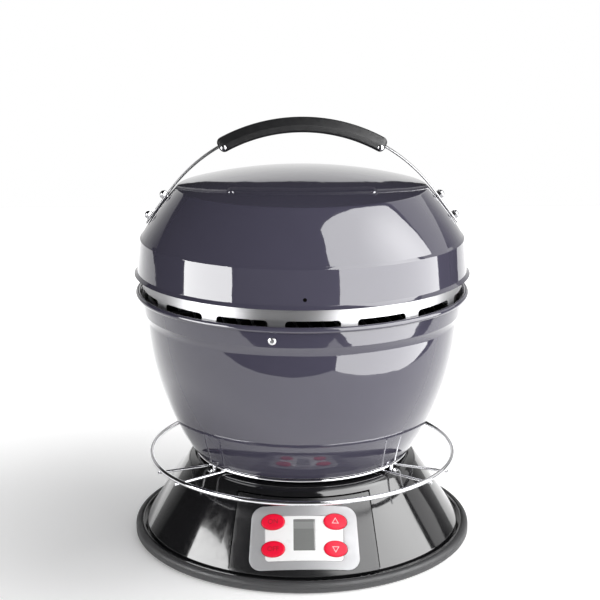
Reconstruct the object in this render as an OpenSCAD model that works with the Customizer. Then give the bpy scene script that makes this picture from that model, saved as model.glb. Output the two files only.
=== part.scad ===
// Portable wood-fired grill: fan base with a control console, wire seat, enamelled bowl,
// slotted steel vent ring and a lift-off lid with a bow handle.
// Origin at the middle of the floor contact, +Z up, the control console faces -Y.

/* [Base] */
// Diameter over the rubber bumper
base_d = 380; // [366:1:400]
// Height of the rubber bumper
bumper_h = 11.6; // [10:0.1:14]
// Width of the bumper outside the tray lip
bumper_w = 7.3; // [6.5:0.1:10]
// Thickness of the tray floor
tray_t = 3; // [2:0.1:4]
// Height of the tray lip above the tray floor
lip_h = 7.5; // [6:0.1:9]
// Thickness of the tray lip
lip_t = 2.5; // [2:0.1:3.5]
// Width of the dark gap between the shell skirt and the tray lip
lip_gap = 3; // [2:0.1:4]
// How far the feet stand below the bumper
foot_proud = 1.4; // [1:0.1:3]
// Diameter of a rubber foot
foot_d = 26; // [18:1:32]
// Wall of the moulded base shell
shell_t = 3; // [2.4:0.1:3.6]
// Height of the upright skirt at the foot of the cone
skirt_h = 8.6; // [7:0.1:10]
// Diameter where the cone and the deck would meet
shoulder_d = 250; // [246:1:256]
// Height of the deck above the floor
deck_z = 92.5; // [90:0.5:98]
// Radius that rounds the shoulder
shoulder_round = 7; // [4:0.5:9]
// Diameter of a screw post inside the shell
post_d = 10; // [8:0.5:12]
// Diameter of a tray screw
tray_screw_d = 3.5; // [3:0.1:4]

/* [Console] */
// How far the console stands out past the skirt at its lower edge
console_proud = 5; // [4:0.1:7]
// Height of the lower edge of the console above the skirt top
console_foot = 1.4; // [1:0.1:3]
// Drop of the upper edge of the console below the deck
console_drop = 8.5; // [8:0.1:10]
// Width of the console at its upper edge
console_top_w = 140; // [136:1:146]
// Width of the console at its lower edge
console_foot_w = 159; // [154:1:166]
// Wall of the console
console_t = 3; // [2.5:0.1:3.5]
// Depth of the console rim behind its face
console_rim = 9; // [7:0.5:10]
// Distance of the panel middle up the slope from the lower edge of the console
panel_slope = 40; // [37.5:0.5:42.5]
// Width of the silver bezel at its top
bezel_top_w = 109; // [104:1:114]
// Width of the silver bezel at its bottom
bezel_foot_w = 117; // [112:1:122]
// Height of the silver bezel along the slope
bezel_h = 68; // [60:1:72]
// Height of the bezel's middle above the middle of the panel, along the slope
bezel_row = 2.3; // [0:0.1:4]
// Corner radius of the bezel
bezel_corner = 13; // [8:0.5:16]
// Thickness of the bezel
bezel_t = 1.2; // [0.8:0.1:1.8]
// Width of the white label
label_w = 81.5; // [76:0.5:84]
// Height of the white label
label_h = 47.3; // [45:0.1:50]
// Thickness of the label
label_t = 0.8; // [0.5:0.1:1]
// Width of the display window
display_w = 22.5; // [18:0.5:26]
// Height of the display window
display_h = 33; // [28:0.5:35]
// Width of an oval button
button_w = 24.5; // [22:0.5:26]
// Height of an oval button
button_h = 17; // [15:0.5:18]
// Height of a button above the console face
button_proud = 2.6; // [2:0.1:3.5]
// Sideways distance between the two button columns
button_pitch_x = 65.2; // [62:0.1:68]
// Distance between the two button rows along the slope
button_pitch_y = 28.8; // [28:0.1:31]
// Travel of a button
button_travel = 1.2; // [0.8:0.1:1.5]
// Depth of the circuit board behind the console face
board_depth = 17; // [16:0.1:18.5]
// Thickness of the circuit board
board_t = 1.6; // [1:0.1:2]

/* [Wire seat] */
// Diameter of the outer wire ring at its centre line
guard_d = 340.4; // [332:0.2:350]
// Thickness of the outer ring wire
guard_wire = 5; // [4:0.1:6]
// Diameter of the inner wire ring that carries the bowl
seat_d = 237.6; // [234:0.2:240]
// Thickness of the inner ring and spoke wire
seat_wire = 3; // [2.5:0.1:3.5]
// Height of the outer ring centre above the deck
guard_rise = 0.6; // [0:0.1:2]
// Azimuth of the two front pairs of spokes at the inner ring
spoke_az = 52.8; // [50:0.1:56]
// Angle of the two rear pairs of spokes from the back
rear_spoke_az = 45; // [40:0.5:50]
// Angle between the two spokes of a pair at the inner ring
spoke_pair = 12; // [10:0.1:14]
// Angle by which the spokes lean to the side on their way to the outer ring
spoke_lean = 6.5; // [0:0.1:8]
// How much more the two spokes of a pair stand apart at the outer ring
spoke_spread = 1.7; // [0:0.1:3]
// How far a spoke runs past the outer ring
spoke_tip = 2.9; // [2:0.1:8]

/* [Blower] */
// Diameter of the fan over its blades
fan_d = 86; // [78:1:90]
// Number of fan blades
fan_blades = 7; // [5:1:9]
// Diameter of the motor
motor_d = 34; // [30:1:38]
// Height of the motor
motor_h = 24; // [20:1:28]
// Diameter of the motor shaft
shaft_d = 4; // [3:0.1:5]
// Height of the fan hub
hub_h = 16; // [14:1:20]
// Height of the blower housing above the tray
housing_h = 52; // [50:1:56]
// Wall of the housing and the air duct
housing_t = 2.5; // [2:0.1:3]
// Inner diameter of the air duct where it leaves the deck
duct_d = 68; // [60:1:72]

/* [Bowl] */
// Sheet thickness of the bowl
bowl_t = 1.2; // [0.9:0.1:1.6]
// Height of the bowl from its floor to the neck
bowl_h = 153; // [144:1:160]
// Outer diameter of the bowl at the neck
neck_d = 342; // [336:1:346]
// Diameter where the belly would meet the floor
bowl_foot_d = 243; // [240:1:248]
// Radius of the belly curve
belly_r = 293; // [270:1:330]
// Radius that rounds the floor edge
bowl_round = 9; // [7:0.5:12]
// Outward step from the neck to the collar
collar_step = 4; // [3:0.1:6]
// Height of that step
collar_step_h = 7; // [5:0.1:10]
// Height of the collar from the step to the middle of the rim bead
collar_h = 20.4; // [18:0.1:23]
// Outward flare of the collar over that height
collar_flare = 2.7; // [2:0.1:3.5]
// Diameter of the rolled rim bead
bead_d = 6; // [5:0.1:7]
// Diameter of the air hole in the bowl floor
air_hole_d = 76; // [72:1:84]

/* [Vent ring] */
// Outer diameter of the steel vent ring
ring_d = 351; // [349:0.2:352]
// Sheet thickness of the vent ring
ring_t = 0.8; // [0.6:0.1:1]
// Number of air slots
slot_count = 15; // [12:1:15]
// Width of an air slot
slot_w = 55.8; // [46:0.2:58]
// Height of an air slot
slot_h = 15; // [12:0.5:18]
// Corner radius at the top of a slot
slot_round = 4; // [2:0.5:6]
// Azimuth of the first slot
slot_az = 2.75; // [0:0.05:5]
// Azimuth of the first fixing screw
ring_screw_az = -10.6; // [-13:0.1:-9]
// Diameter of a fixing screw
ring_screw_d = 4; // [3.5:0.1:5]
// Length of a grate tab
tab_l = 8; // [7:0.5:10]

/* [Fire chamber] */
// Air gap between the bowl and the liner
liner_gap = 9; // [7:0.5:11]
// Sheet thickness of the liner and the fire cup
liner_t = 1; // [0.8:0.1:1.4]
// Height of the liner above the bowl floor
liner_h = 138; // [120:1:145]
// Outer diameter of the fire cup
cup_d = 132; // [120:1:136]
// Height of the fire cup
cup_h = 75; // [66:1:80]
// Diameter of the air holes in the cup wall
cup_hole_d = 6; // [4:0.5:8]
// Diameter of the flame diffuser
diffuser_d = 160; // [140:1:180]
// Height of the diffuser legs
diffuser_leg = 18; // [14:1:22]
// Diameter of the grate hoop at its centre line
hoop_d = 336; // [334:1:340]
// Thickness of the grate hoop wire
hoop_wire = 5; // [4.5:0.1:6]
// Thickness of a grate bar
bar_wire = 3; // [2.5:0.1:4]
// Distance between grate bars
bar_pitch = 14; // [11:0.5:18]
// Turn of the grate in the bowl
grate_turn = 8; // [0:1:12]

/* [Lid] */
// Sheet thickness of the lid
lid_t = 0.9; // [0.7:0.1:1.1]
// Gap between the top of the bowl bead and the lid edge
lid_gap = 18.4; // [17:0.1:21]
// Diameter of the lid edge
lid_d = 368; // [364:0.2:372]
// Height of the flared edge
flare_h = 3.4; // [3:0.1:5]
// Inward taper of the flared edge
flare_in = 3.4; // [2.5:0.1:4.5]
// Height of the lid band from the lid edge to the ledge
band_h = 39; // [34:0.2:42]
// Inward taper of the band
band_in = 3.4; // [3:0.1:4]
// Height of the ledge
ledge_h = 2.6; // [2:0.1:4]
// Width of the ledge
ledge_in = 2.3; // [2:0.1:3]
// Height of the flank above the ledge
flank_h = 51.7; // [48:0.1:56]
// Diameter of the edge of the crown
crown_d = 273.4; // [266:0.2:280]
// Radius of the flank curve
flank_r = 340; // [300:5:420]
// Rise of the crown
crown_h = 18; // [14:0.5:22]
// Radius that rounds the edge of the crown
crown_round = 5; // [3:0.5:7]
// Diameter of the small hole in the front of the band
lid_hole_d = 4; // [3:0.1:5]

/* [Handle] */
// Height of the bow centre line above the lid edge
handle_h = 160; // [152:1:168]
// Thickness of the bow strap
bow_t = 2; // [1.6:0.1:2.5]
// Width of the bow strap
bow_w = 14.5; // [13:0.5:16]
// Height of the middle of the two bolts above the lid edge
bolt_mid_h = 70; // [67:0.5:73]
// Distance between the two bolts
bolt_pitch = 28; // [24:1:32]
// Diameter of a handle bolt
bolt_d = 5; // [4:0.5:6]
// Half the angle that the grip covers
grip_half_angle = 30.2; // [28:0.2:33]
// Height of the grip section
grip_h = 16; // [15:0.5:19]
// Depth of the grip section
grip_w = 22; // [20:0.5:26]
// Corner radius of the grip section
grip_round = 7; // [4:0.5:7.4]
// Diameter of a grip screw
grip_screw_d = 3; // [2.5:0.1:3.5]

/* [Clearances] */
// Clearance between pieces that are fastened together
fit = 0.1; // [0.06:0.01:0.15]
// Clearance between pieces that lift off or travel
seat = 0.3; // [0.25:0.01:0.4]
// Radial clearance of the turning shaft
bearing = 0.05; // [0.02:0.01:0.08]
// Radial gap of the fan hub that is pressed on the shaft
press = 0.02; // [0.01:0.01:0.03]

/* [Hidden] */
$fn = 120;

// Colours as photographed
enamel = [0.36, 0.35, 0.41];
gloss_black = [0.03, 0.03, 0.035];
rubber_grey = [0.13, 0.13, 0.14];
steel = [0.72, 0.72, 0.72];
chrome = [0.88, 0.88, 0.9];
silver = [0.66, 0.67, 0.68];
button_red = [0.9, 0.08, 0.22];
label_white = [0.96, 0.96, 0.96];
display_grey = [0.48, 0.49, 0.48];
grip_black = [0.07, 0.07, 0.075];
board_green = [0.1, 0.35, 0.18];
lead_black = [0.05, 0.05, 0.05];

// Points along an arc about c, skipping the first ones when skip is set
function arc(c, r, a0, a1, n = 12, skip = 0) = [
    for (i = [skip:n]) let (a = a0 + (a1 - a0) * i / n) [c[0] + r * cos(a), c[1] + r * sin(a)]
];
// Centre of the arc of radius r from p to q that bulges to the right of that way
function arc_centre(p, q, r) =
    let (d = q - p, h = norm(d) / 2)
    (p + q) / 2 + [-d[1], d[0]] / norm(d) * sqrt(r * r - h * h);
// Crossing of two circles on the left of the way from c1 to c2
function circle_cross(c1, r1, c2, r2) =
    let (d = norm(c2 - c1), u = (c2 - c1) / d, a = (r1 * r1 - r2 * r2 + d * d) / (2 * d))
    c1 + u * a + [-u[1], u[0]] * sqrt(r1 * r1 - a * a);
function bearing_of(v) = atan2(v[1], v[0]);
function reversed(list) = [for (i = [len(list) - 1:-1:0]) list[i]];

// Places something drawn on +X at radius r and azimuth az, where 0 is the front and 90 the right
function round_point(r, az, z) = [r * sin(az), -r * cos(az), z];
module polar(r, az) {
    rotate([0, 0, az - 90]) translate([r, 0, 0]) children();
}
module tube(r_in, r_out, z0, z1) {
    translate([0, 0, z0]) difference() {
        cylinder(r = r_out, h = z1 - z0);
        translate([0, 0, -over]) cylinder(r = r_in, h = z1 - z0 + 2 * over);
    }
}
module torus(ring_r, wire_d, z) {
    translate([0, 0, z]) rotate_extrude() translate([ring_r, 0]) circle(d = wire_d, $fn = 48);
}
// Round wire between two points
module wire(p, q, d) {
    v = q - p;
    translate(p) rotate([0, acos(v[2] / norm(v)), atan2(v[1], v[0])])
        cylinder(d = d, h = norm(v), $fn = 32);
}
// Pan head screw that points along -Z with its head on z = 0
pan_wide = 2.07;
pan_high = 0.65;
module pan_screw(d, length, wide = pan_wide) {
    head_d = d * wide;
    rim_h = d * pan_high * 0.6;
    translate([0, 0, -length]) cylinder(d = d, h = length, $fn = 32);
    cylinder(d = head_d, h = rim_h, $fn = 48);
    translate([0, 0, rim_h]) cylinder(d1 = head_d, d2 = head_d * 0.72, h = d * pan_high * 0.4, $fn = 48);
}
// How far a cutting shape runs past a face
over = 1;

// Base levels and radii
bumper_foot = 1.6;
tray_z = foot_proud + bumper_foot;
tray_top = tray_z + tray_t;
lip_r = base_d / 2 - bumper_w - fit;
skirt_r = lip_r - lip_t - lip_gap;
skirt_top = tray_top + skirt_h;
shoulder = [shoulder_d / 2, deck_z];
cone_foot = [skirt_r, skirt_top];
cone_way = (cone_foot - shoulder) / norm(cone_foot - shoulder);
cone_out = [-cone_way[1], cone_way[0]];
post_in = 27.1;
post_r = skirt_r - post_in;
post_azs = [65, 90, 125, 235, 270, 295];
tray_screw_grip = 12;
bumper_in = 6;
foot_margin = 3.6;
foot_r = lip_r - bumper_in - foot_margin - foot_d / 2;
foot_bevel = 1;
intake_count = 10;
intake_w = 6;
intake_edge = 5;
duct_out = duct_d / 2 + housing_t;
deck_hole_r = duct_out + seat;
inlet_z = 30;
inlet_y = skirt_r - 5.5;
inlet_d = 11;
inlet_l = 20;
inlet_flange_w = 1.75;
inlet_flange_t = 1.6;
inlet_boss_d = 20;
inlet_boss_l = 12;
plug_d = 6.4;
plug_l = 10;
pin_d = 2;

// Console face: a cone from the shoulder to the proud lower edge
console_foot_z = skirt_top + console_foot;
console_top_z = deck_z - console_drop;
face_foot = [skirt_r + console_proud, console_foot_z];
face_way = (face_foot - shoulder) / norm(face_foot - shoulder);
face_out = [-face_way[1], face_way[0]];
face_len = norm(face_foot - shoulder);
panel_tilt = atan2(-face_way[1], face_way[0]);
panel_at = face_foot - face_way * panel_slope;
button_row = 4.8;
display_row = 5;
label_row = 1.3;
button_flange = 1.5;
column_fall = pow(button_pitch_x / 2, 2) * sin(panel_tilt) / (2 * panel_at[0]);
stem_d = 3.2;
stem_reach = 3.6;
stem_rest = 0.4;
switch_h = 5;
switch_w = 7;
label_round = 4;
display_edge = 3;
display_gap = 1.4;
board_w = 104;
board_h = 72;
board_row = 3.5;
board_post_x = 46;
board_post_rows = [34, -27];
board_post_d = 6;
board_screw_d = 2.2;
board_screw_grip = 2.6;

// Wire seat levels
deck_edge_r = shoulder[0] - shoulder_round * tan((90 - bearing_of(cone_out)) / 2);
deck_spoke_z = deck_z + seat_wire / 2 + fit / 2;
guard_z = deck_z + guard_rise;
guard_spoke_z = guard_z - guard_wire / 2 - seat_wire / 2 - fit / 2;
spoke_slope = (guard_spoke_z - deck_spoke_z) / (guard_d / 2 - deck_edge_r);
spoke_in = 9;
function spoke_z(r) = deck_spoke_z + spoke_slope * (r - deck_edge_r);
seat_ring_z = spoke_z(seat_d / 2) + seat_wire + fit / 2;
// Azimuth of each pair of spokes and the way it leans: two in front, two at the back
spoke_pairs = [[-spoke_az, -1], [spoke_az, 1], [180 - rear_spoke_az, 0], [180 + rear_spoke_az, 0]];
// Azimuths of each spoke at the inner and the outer ring
spoke_azs = [for (pair = spoke_pairs, half = [-0.5, 0.5]) [
    pair[0] + half * spoke_pair,
    pair[0] + pair[1] * spoke_lean + half * (spoke_pair + spoke_spread)]];
clip_azs = [for (pair = spoke_pairs) pair[0]];
clip_w = 6;
clip_t = 0.8;
clip_wrap = 35;
clip_foot_l = 7.5;
clip_screw_d = 3;
clip_screw_l = 10;
clip_screw_wide = 1.53;
clip_screw_out = 5;
clip_screw_r = seat_d / 2 + clip_screw_out;
clip_boss_wall = 0.5;
clip_boss_floor = 3;
clip_boss_d = clip_w + 2 * clip_boss_wall;
clip_boss_out = clip_screw_r + clip_boss_d / 2 - shoulder[0];
clip_boss_fall = max(0, -clip_boss_out * cone_way[1] / cone_way[0]);
clip_boss_l = clip_screw_l + clip_boss_floor + clip_boss_fall;

// Bowl levels and curves
bowl_z = seat_ring_z + seat_wire / 2 + seat;
neck = [neck_d / 2, bowl_z + bowl_h];
belly_c = arc_centre([bowl_foot_d / 2, bowl_z], neck, belly_r);
collar_z = neck[1] + collar_step_h;
collar_slope = collar_flare / collar_h;
collar_tilt = atan(collar_slope);
bead_z = collar_z + collar_h;
function collar_r(z) = neck[0] + collar_step + collar_slope * (z - collar_z);
bead_r = collar_r(bead_z) + (bead_d - bowl_t) / 2;
bowl_floor = bowl_z + bowl_t;

// Vent ring, grate and lid levels
ring_r = ring_d / 2;
skirt_inset = (bowl_t + fit) / cos(collar_tilt);
ring_foot_rise = 2;
ring_foot_z = collar_z + ring_foot_rise;
ring_kink_z = collar_z + (ring_r + skirt_inset - neck[0] - collar_step) / collar_slope;
slot_drop = 7;
slot_z = bead_z - slot_drop;
tab_drop = 1;
tab_z = slot_z - tab_drop;
tab_t = 1.5;
tab_w = 12;
tab_count = 6;
tab_azs = [for (i = [0:tab_count - 1]) slot_az + 360 / slot_count / 2 + i * 360 / tab_count];
ring_screw_rise = 7.75;
ring_screw_z = collar_z + ring_screw_rise;
ring_screw_l = 7.5;
ring_screw_azs = [for (i = [0:2]) ring_screw_az + i * 120];
ring_nut_d = 8;
ring_nut_h = 3.2;
hoop_z = tab_z + seat + hoop_wire / 2;
lid_z = bead_z + bead_d / 2 + lid_gap;

// Lid curves
lid_edge = [lid_d / 2, lid_z];
lid_crease = lid_edge + [-flare_in, flare_h];
ledge_low = [lid_crease[0] - band_in, lid_z + band_h];
ledge_high = ledge_low + [-ledge_in, ledge_h];
crown_edge = [crown_d / 2, ledge_high[1] + flank_h];
flank_c = arc_centre(ledge_high, crown_edge, flank_r);
crown_r = (crown_edge[0] * crown_edge[0] + crown_h * crown_h) / (2 * crown_h);
crown_c = [0, crown_edge[1] + crown_h - crown_r];
edge_c = circle_cross(flank_c, flank_r - crown_round, crown_c, crown_r - crown_round);
flank_a0 = bearing_of(ledge_high - flank_c);
flank_a1 = bearing_of(edge_c - flank_c);
crown_a0 = bearing_of(edge_c - crown_c);
ledge_out = [ledge_h, ledge_in] / norm([ledge_h, ledge_in]);
ring_top_z = ledge_low[1] - lid_t * ledge_out[1]
    + (ledge_low[0] - lid_t * ledge_out[0] - ring_r) * ledge_h / ledge_in - seat;

// Handle curve: an arc over the lid that runs straight down both flanks
bolt_a = asin((lid_z + bolt_mid_h - flank_c[1]) / flank_r);
leg_out = [cos(bolt_a), sin(bolt_a)];
leg_way = [leg_out[1], -leg_out[0]];
leg_mid = flank_c + leg_out * (flank_r + fit + bow_t / 2);
bow_top = lid_z + handle_h;
bow_r = (leg_out * leg_mid - leg_out[1] * bow_top) / (1 - leg_out[1]);
bow_c = [0, bow_top - bow_r];
leg_tail = 8;
leg_end = leg_mid + leg_way * (bolt_pitch / 2 + leg_tail);
grip_screw_in = 1.6;
grip_screw_gap = 0.5;
grip_screw_a = grip_half_angle - grip_screw_in;
grip_screw_r = bow_r - bow_t / 2 - grip_screw_d / 2 - grip_screw_gap;
grip_screw_at = bow_c + grip_screw_r * [sin(grip_screw_a), cos(grip_screw_a)];
grip_screw_l = grip_w - 5;
nut_d = 10;
nut_h = 4;
nut_dome_in = 1.2;
bolt_head_h = 2.2;
bolt_sag = pow(bolt_pitch + nut_d, 2) / (8 * flank_r);
lid_hole_rise = 6.2;

// Solid cone under the face of the base, inset by a wall
module base_solid(inset) {
    top = deck_z - inset;
    lift = inset / cone_out[0];
    low = skirt_r - inset;
    slope = cone_way[1] / cone_way[0];
    corner = shoulder[0] - lift + (top - deck_z) / slope;
    bevel_c = [corner - tan((90 - bearing_of(cone_out)) / 2) * round_in(inset), top - round_in(inset)];
    knee = skirt_top + (low - (skirt_r - lift)) * slope;
    rotate_extrude() polygon(concat(
        [[0, tray_top], [low, tray_top], [low, knee]],
        arc(bevel_c, round_in(inset), bearing_of(cone_out), 90, 8),
        [[0, top]]));
}
function round_in(inset) = shoulder_round - inset;

module front_prism(grow) {
    rotate([90, 0, 0]) linear_extrude(height = base_d / 2) console_outline(grow);
}
// Console outline seen from the front
module console_outline(grow) {
    top = console_top_w / 2 + grow;
    low = console_foot_w / 2 + grow;
    polygon([
        [-low, console_foot_z - grow], [low, console_foot_z - grow],
        [top, console_top_z + grow], [-top, console_top_z + grow]
    ]);
}
// Conical layer between two heights over the console face
module face_layer(low, high) {
    start = shoulder - face_way * 4;
    stop = shoulder + face_way * (face_len + 10);
    rotate_extrude() polygon([
        start + face_out * low, stop + face_out * low, stop + face_out * high, start + face_out * high
    ]);
}
// Frame whose origin is the middle of the panel, +Y up the slope and +Z out of the face
module panel() {
    translate([0, -panel_at[0], panel_at[1]]) rotate([panel_tilt, 0, 0]) children();
}
function panel_point(x, y, w) = [
    x,
    -panel_at[0] + y * cos(panel_tilt) - w * sin(panel_tilt),
    panel_at[1] + y * sin(panel_tilt) + w * cos(panel_tilt)
];
// Patch of a conical layer with the outline of the children
module face_patch(low, high) {
    intersection() {
        face_layer(low, high);
        panel() translate([0, 0, -board_depth]) linear_extrude(height = 2 * board_depth) children();
    }
}
module rounded_rect(w, h, r) {
    square([w - 2 * r, h], center = true);
    square([w, h - 2 * r], center = true);
    for (x = [-1, 1], y = [-1, 1])
        translate([x * (w / 2 - r), y * (h / 2 - r)]) circle(r = r, $fn = 32);
}
module oval(grow) {
    h = button_h + 2 * grow;
    square([button_w - button_h, h], center = true);
    for (x = [-1, 1]) translate([x * (button_w - button_h) / 2, 0]) circle(d = h, $fn = 64);
}
module bezel_outline() {
    y = bezel_h / 2 - bezel_corner;
    translate([0, bezel_row]) hull() {
        for (x = [-1, 1]) {
            translate([x * (bezel_top_w / 2 - bezel_corner), y]) circle(r = bezel_corner, $fn = 32);
            translate([x * (bezel_foot_w / 2 - bezel_corner), -y]) circle(r = bezel_corner, $fn = 32);
        }
    }
}
// Places of the four buttons as [column, row]
module at_button(column, row) {
    translate([column * button_pitch_x / 2, button_row + row * button_pitch_y / 2]) children();
}
module all_ovals(grow) {
    for (column = [-1, 1], row = [-1, 1]) at_button(column, row) oval(grow);
}
module display_outline(grow) {
    translate([0, display_row]) square([display_w + 2 * grow, display_h + 2 * grow], center = true);
}
module board_posts() {
    for (x = [-1, 1], y = board_post_rows) translate([x * board_post_x, y]) children();
}

module base_shell() {
    color(gloss_black) difference() {
        union() {
            difference() {
                base_solid(0);
                translate([0, 0, -fit]) base_solid(shell_t);
            }
            intersection() {
                base_solid(shell_t / 2);
                for (az = post_azs) polar(post_r, az) translate([0, 0, tray_top])
                    cylinder(d = post_d, h = deck_z, $fn = 48);
            }
            difference() {
                translate([0, inlet_y, inlet_z]) rotate([90, 0, 0])
                    cylinder(d = inlet_boss_d, h = 2 * inlet_boss_l, $fn = 64);
                base_solid(shell_t + inlet_boss_l);
            }
            for (az = clip_azs) polar(clip_screw_r, az) translate([0, 0, deck_z - clip_boss_l])
                cylinder(d = clip_boss_d, h = clip_boss_l, $fn = 48);
        }
        front_prism(seat);
        translate([0, 0, deck_z - shell_t - over]) cylinder(r = deck_hole_r, h = shell_t + 2 * over);
        for (az = post_azs) polar(post_r, az) translate([0, 0, tray_top - over])
            cylinder(d = tray_screw_d + 2 * fit, h = tray_screw_grip + 3 * over, $fn = 32);
        translate([0, inlet_y + over, inlet_z]) rotate([90, 0, 0])
            cylinder(d = inlet_d + 2 * fit, h = 3 * inlet_boss_l, $fn = 48);
        for (az = clip_azs) polar(clip_screw_r, az) translate([0, 0, deck_z - clip_screw_l - over])
            cylinder(d = clip_screw_d + 2 * fit, h = clip_screw_l + 3 * over, $fn = 32);
    }
}

module console() {
    color(gloss_black) difference() {
        union() {
            intersection() {
                face_layer(-console_t, 0);
                front_prism(0);
            }
            intersection() {
                face_layer(-console_rim, 0);
                difference() {
                    front_prism(0);
                    translate([0, over, 0]) front_prism(-console_t);
                }
            }
            intersection() {
                face_layer(-2 * board_depth, -console_t / 2);
                panel() translate([0, 0, -board_depth]) linear_extrude(height = board_depth)
                    board_posts() circle(d = board_post_d, $fn = 32);
            }
        }
        panel() translate([0, 0, -board_depth]) linear_extrude(height = 2 * board_depth) {
            all_ovals(seat);
            display_outline(fit);
        }
        panel() translate([0, 0, -board_depth - over])
            linear_extrude(height = board_screw_grip + 4 * fit + over)
                board_posts() circle(d = board_screw_d + 2 * fit, $fn = 24);
    }
}

module control_bezel() {
    color(silver) face_patch(fit, fit + bezel_t) difference() {
        bezel_outline();
        translate([0, label_row]) rounded_rect(label_w + 2 * fit, label_h + 2 * fit, label_round);
        all_ovals(seat);
    }
}

module control_label() {
    color(label_white) face_patch(fit, fit + label_t) difference() {
        translate([0, label_row]) rounded_rect(label_w, label_h, label_round - fit);
        all_ovals(seat);
        display_outline(fit);
    }
}

module display_window() {
    color(display_grey) face_patch(-console_t, label_t) display_outline(0);
}

module display_module() {
    color(display_grey) panel() translate([0, display_row, -board_depth])
        linear_extrude(height = board_depth - console_t - display_gap)
            square([display_w + display_edge, display_h + display_edge], center = true);
}

// Oval cap with a retaining flange behind the console and a stem that works the switch
module button(column, row) {
    flange_top = -console_t - fit;
    stem_low = -board_depth + switch_h - stem_reach + button_travel;
    stem_top = flange_top - button_flange / 2 - column_fall;
    color(button_red) {
        face_patch(flange_top - button_flange / 2, button_proud) at_button(column, row) oval(0);
        face_patch(flange_top - button_flange, flange_top) at_button(column, row) oval(button_flange);
        panel() at_button(column, row) translate([0, 0, stem_low])
            cylinder(d = stem_d, h = stem_top - stem_low, $fn = 32);
    }
}
module on_button() { button(-1, 1); }
module off_button() { button(-1, -1); }
module up_button() { button(1, 1); }
module down_button() { button(1, -1); }

module button_switches() {
    color(lead_black) panel() for (column = [-1, 1], row = [-1, 1])
        at_button(column, row) translate([0, 0, -board_depth]) difference() {
            translate([-switch_w / 2, -switch_w / 2, 0]) cube([switch_w, switch_w, switch_h]);
            translate([0, 0, switch_h - stem_reach - stem_rest])
                cylinder(d = stem_d + 2 * seat, h = switch_h, $fn = 32);
        }
}

module control_board() {
    color(board_green) panel() translate([0, 0, -board_depth - board_t]) difference() {
        translate([-board_w / 2, board_row - board_h / 2, 0]) cube([board_w, board_h, board_t]);
        board_posts() translate([0, 0, -over])
            cylinder(d = board_screw_d + 2 * fit, h = board_t + 2 * over, $fn = 24);
    }
}

module board_screws() {
    color(steel) panel() board_posts() translate([0, 0, -board_depth - board_t]) rotate([180, 0, 0])
        pan_screw(board_screw_d, board_t + board_screw_grip);
}

module base_tray() {
    color(gloss_black) difference() {
        rotate_extrude() {
            translate([0, tray_z]) square([lip_r, tray_t]);
            translate([lip_r - lip_t, tray_z]) square([lip_t, tray_t + lip_h - lip_t / 2]);
            translate([lip_r - lip_t / 2, tray_top + lip_h - lip_t / 2]) circle(d = lip_t, $fn = 32);
        }
        for (i = [0:intake_count - 1]) rotate([0, 0, (i + 0.5) * 360 / intake_count])
            translate([motor_d / 2 + intake_edge, -intake_w / 2, tray_z - over])
                cube([(fan_d - motor_d) / 2 - 2 * intake_edge, intake_w, tray_t + 2 * over]);
        for (az = post_azs) polar(post_r, az) translate([0, 0, tray_z - over])
            cylinder(d = tray_screw_d + 2 * fit, h = tray_t + 2 * over, $fn = 32);
        blower_screw_places() translate([0, 0, -tray_t - over])
            cylinder(d = blower_screw_d + 2 * fit, h = tray_t + 2 * over, $fn = 32);
    }
}

module bumper_ring() {
    corner = 4.6;
    bevel = 2;
    color(rubber_grey) rotate_extrude() {
        polygon(concat(
            [[lip_r + fit, foot_proud], [base_d / 2 - bevel, foot_proud], [base_d / 2, foot_proud + bevel]],
            arc([base_d / 2 - corner, foot_proud + bumper_h - corner], corner, 0, 90, 8),
            [[lip_r + fit, foot_proud + bumper_h]]));
        translate([lip_r - bumper_in, foot_proud]) square([bumper_in + over, bumper_foot - fit / 2]);
    }
}

module rubber_feet() {
    color(rubber_grey) for (az = [45:90:315]) polar(foot_r, az) {
        cylinder(d1 = foot_d - 2 * foot_bevel, d2 = foot_d, h = foot_bevel, $fn = 64);
        translate([0, 0, foot_bevel]) cylinder(d = foot_d, h = tray_z - foot_bevel, $fn = 64);
    }
}

module tray_screws() {
    color(steel) for (az = post_azs) polar(post_r, az) translate([0, 0, tray_z]) rotate([180, 0, 0])
        pan_screw(tray_screw_d, tray_t + tray_screw_grip);
}

// Blower levels
fan_r = fan_d / 2;
fan_gap = 1.5;
housing_in = fan_r + fan_gap;
housing_out = housing_in + housing_t;
housing_top = tray_top + housing_h;
motor_top = tray_top + motor_h;
hub_gap = 2;
hub_z = motor_top + hub_gap;
hub_r = motor_d / 2 + 1;
hub_top = hub_z + hub_h;
hub_cap = 2;
hub_wall = 2.5;
shaft_depth = 16;
flange_w = 9;
flange_t = 3;
blower_screw_d = 3;
lead_d = 3;
lead_notch = 8;
module blower_screw_places() {
    for (az = [45:90:315]) polar(housing_out + flange_w / 2, az) translate([0, 0, tray_top]) children();
}

module blower_housing() {
    color(gloss_black) difference() {
        union() {
            tube(housing_in, housing_out, tray_top, housing_top);
            tube(housing_in, housing_out + flange_w, tray_top, tray_top + flange_t);
        }
        blower_screw_places() translate([0, 0, -over])
            cylinder(d = blower_screw_d + 2 * fit, h = flange_t + 2 * over, $fn = 32);
        translate([-lead_notch / 2, -housing_out - flange_w - over, tray_top - over])
            cube([lead_notch, housing_out + flange_w - motor_d / 2, lead_notch + over]);
    }
}

module blower_screws() {
    color(steel) blower_screw_places() translate([0, 0, flange_t])
        pan_screw(blower_screw_d, flange_t + tray_t);
}

module fan_motor() {
    color(steel) difference() {
        translate([0, 0, tray_top]) cylinder(d = motor_d, h = motor_h);
        translate([0, 0, motor_top - shaft_depth])
            cylinder(d = shaft_d + 2 * bearing, h = shaft_depth + over, $fn = 48);
    }
}

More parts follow.
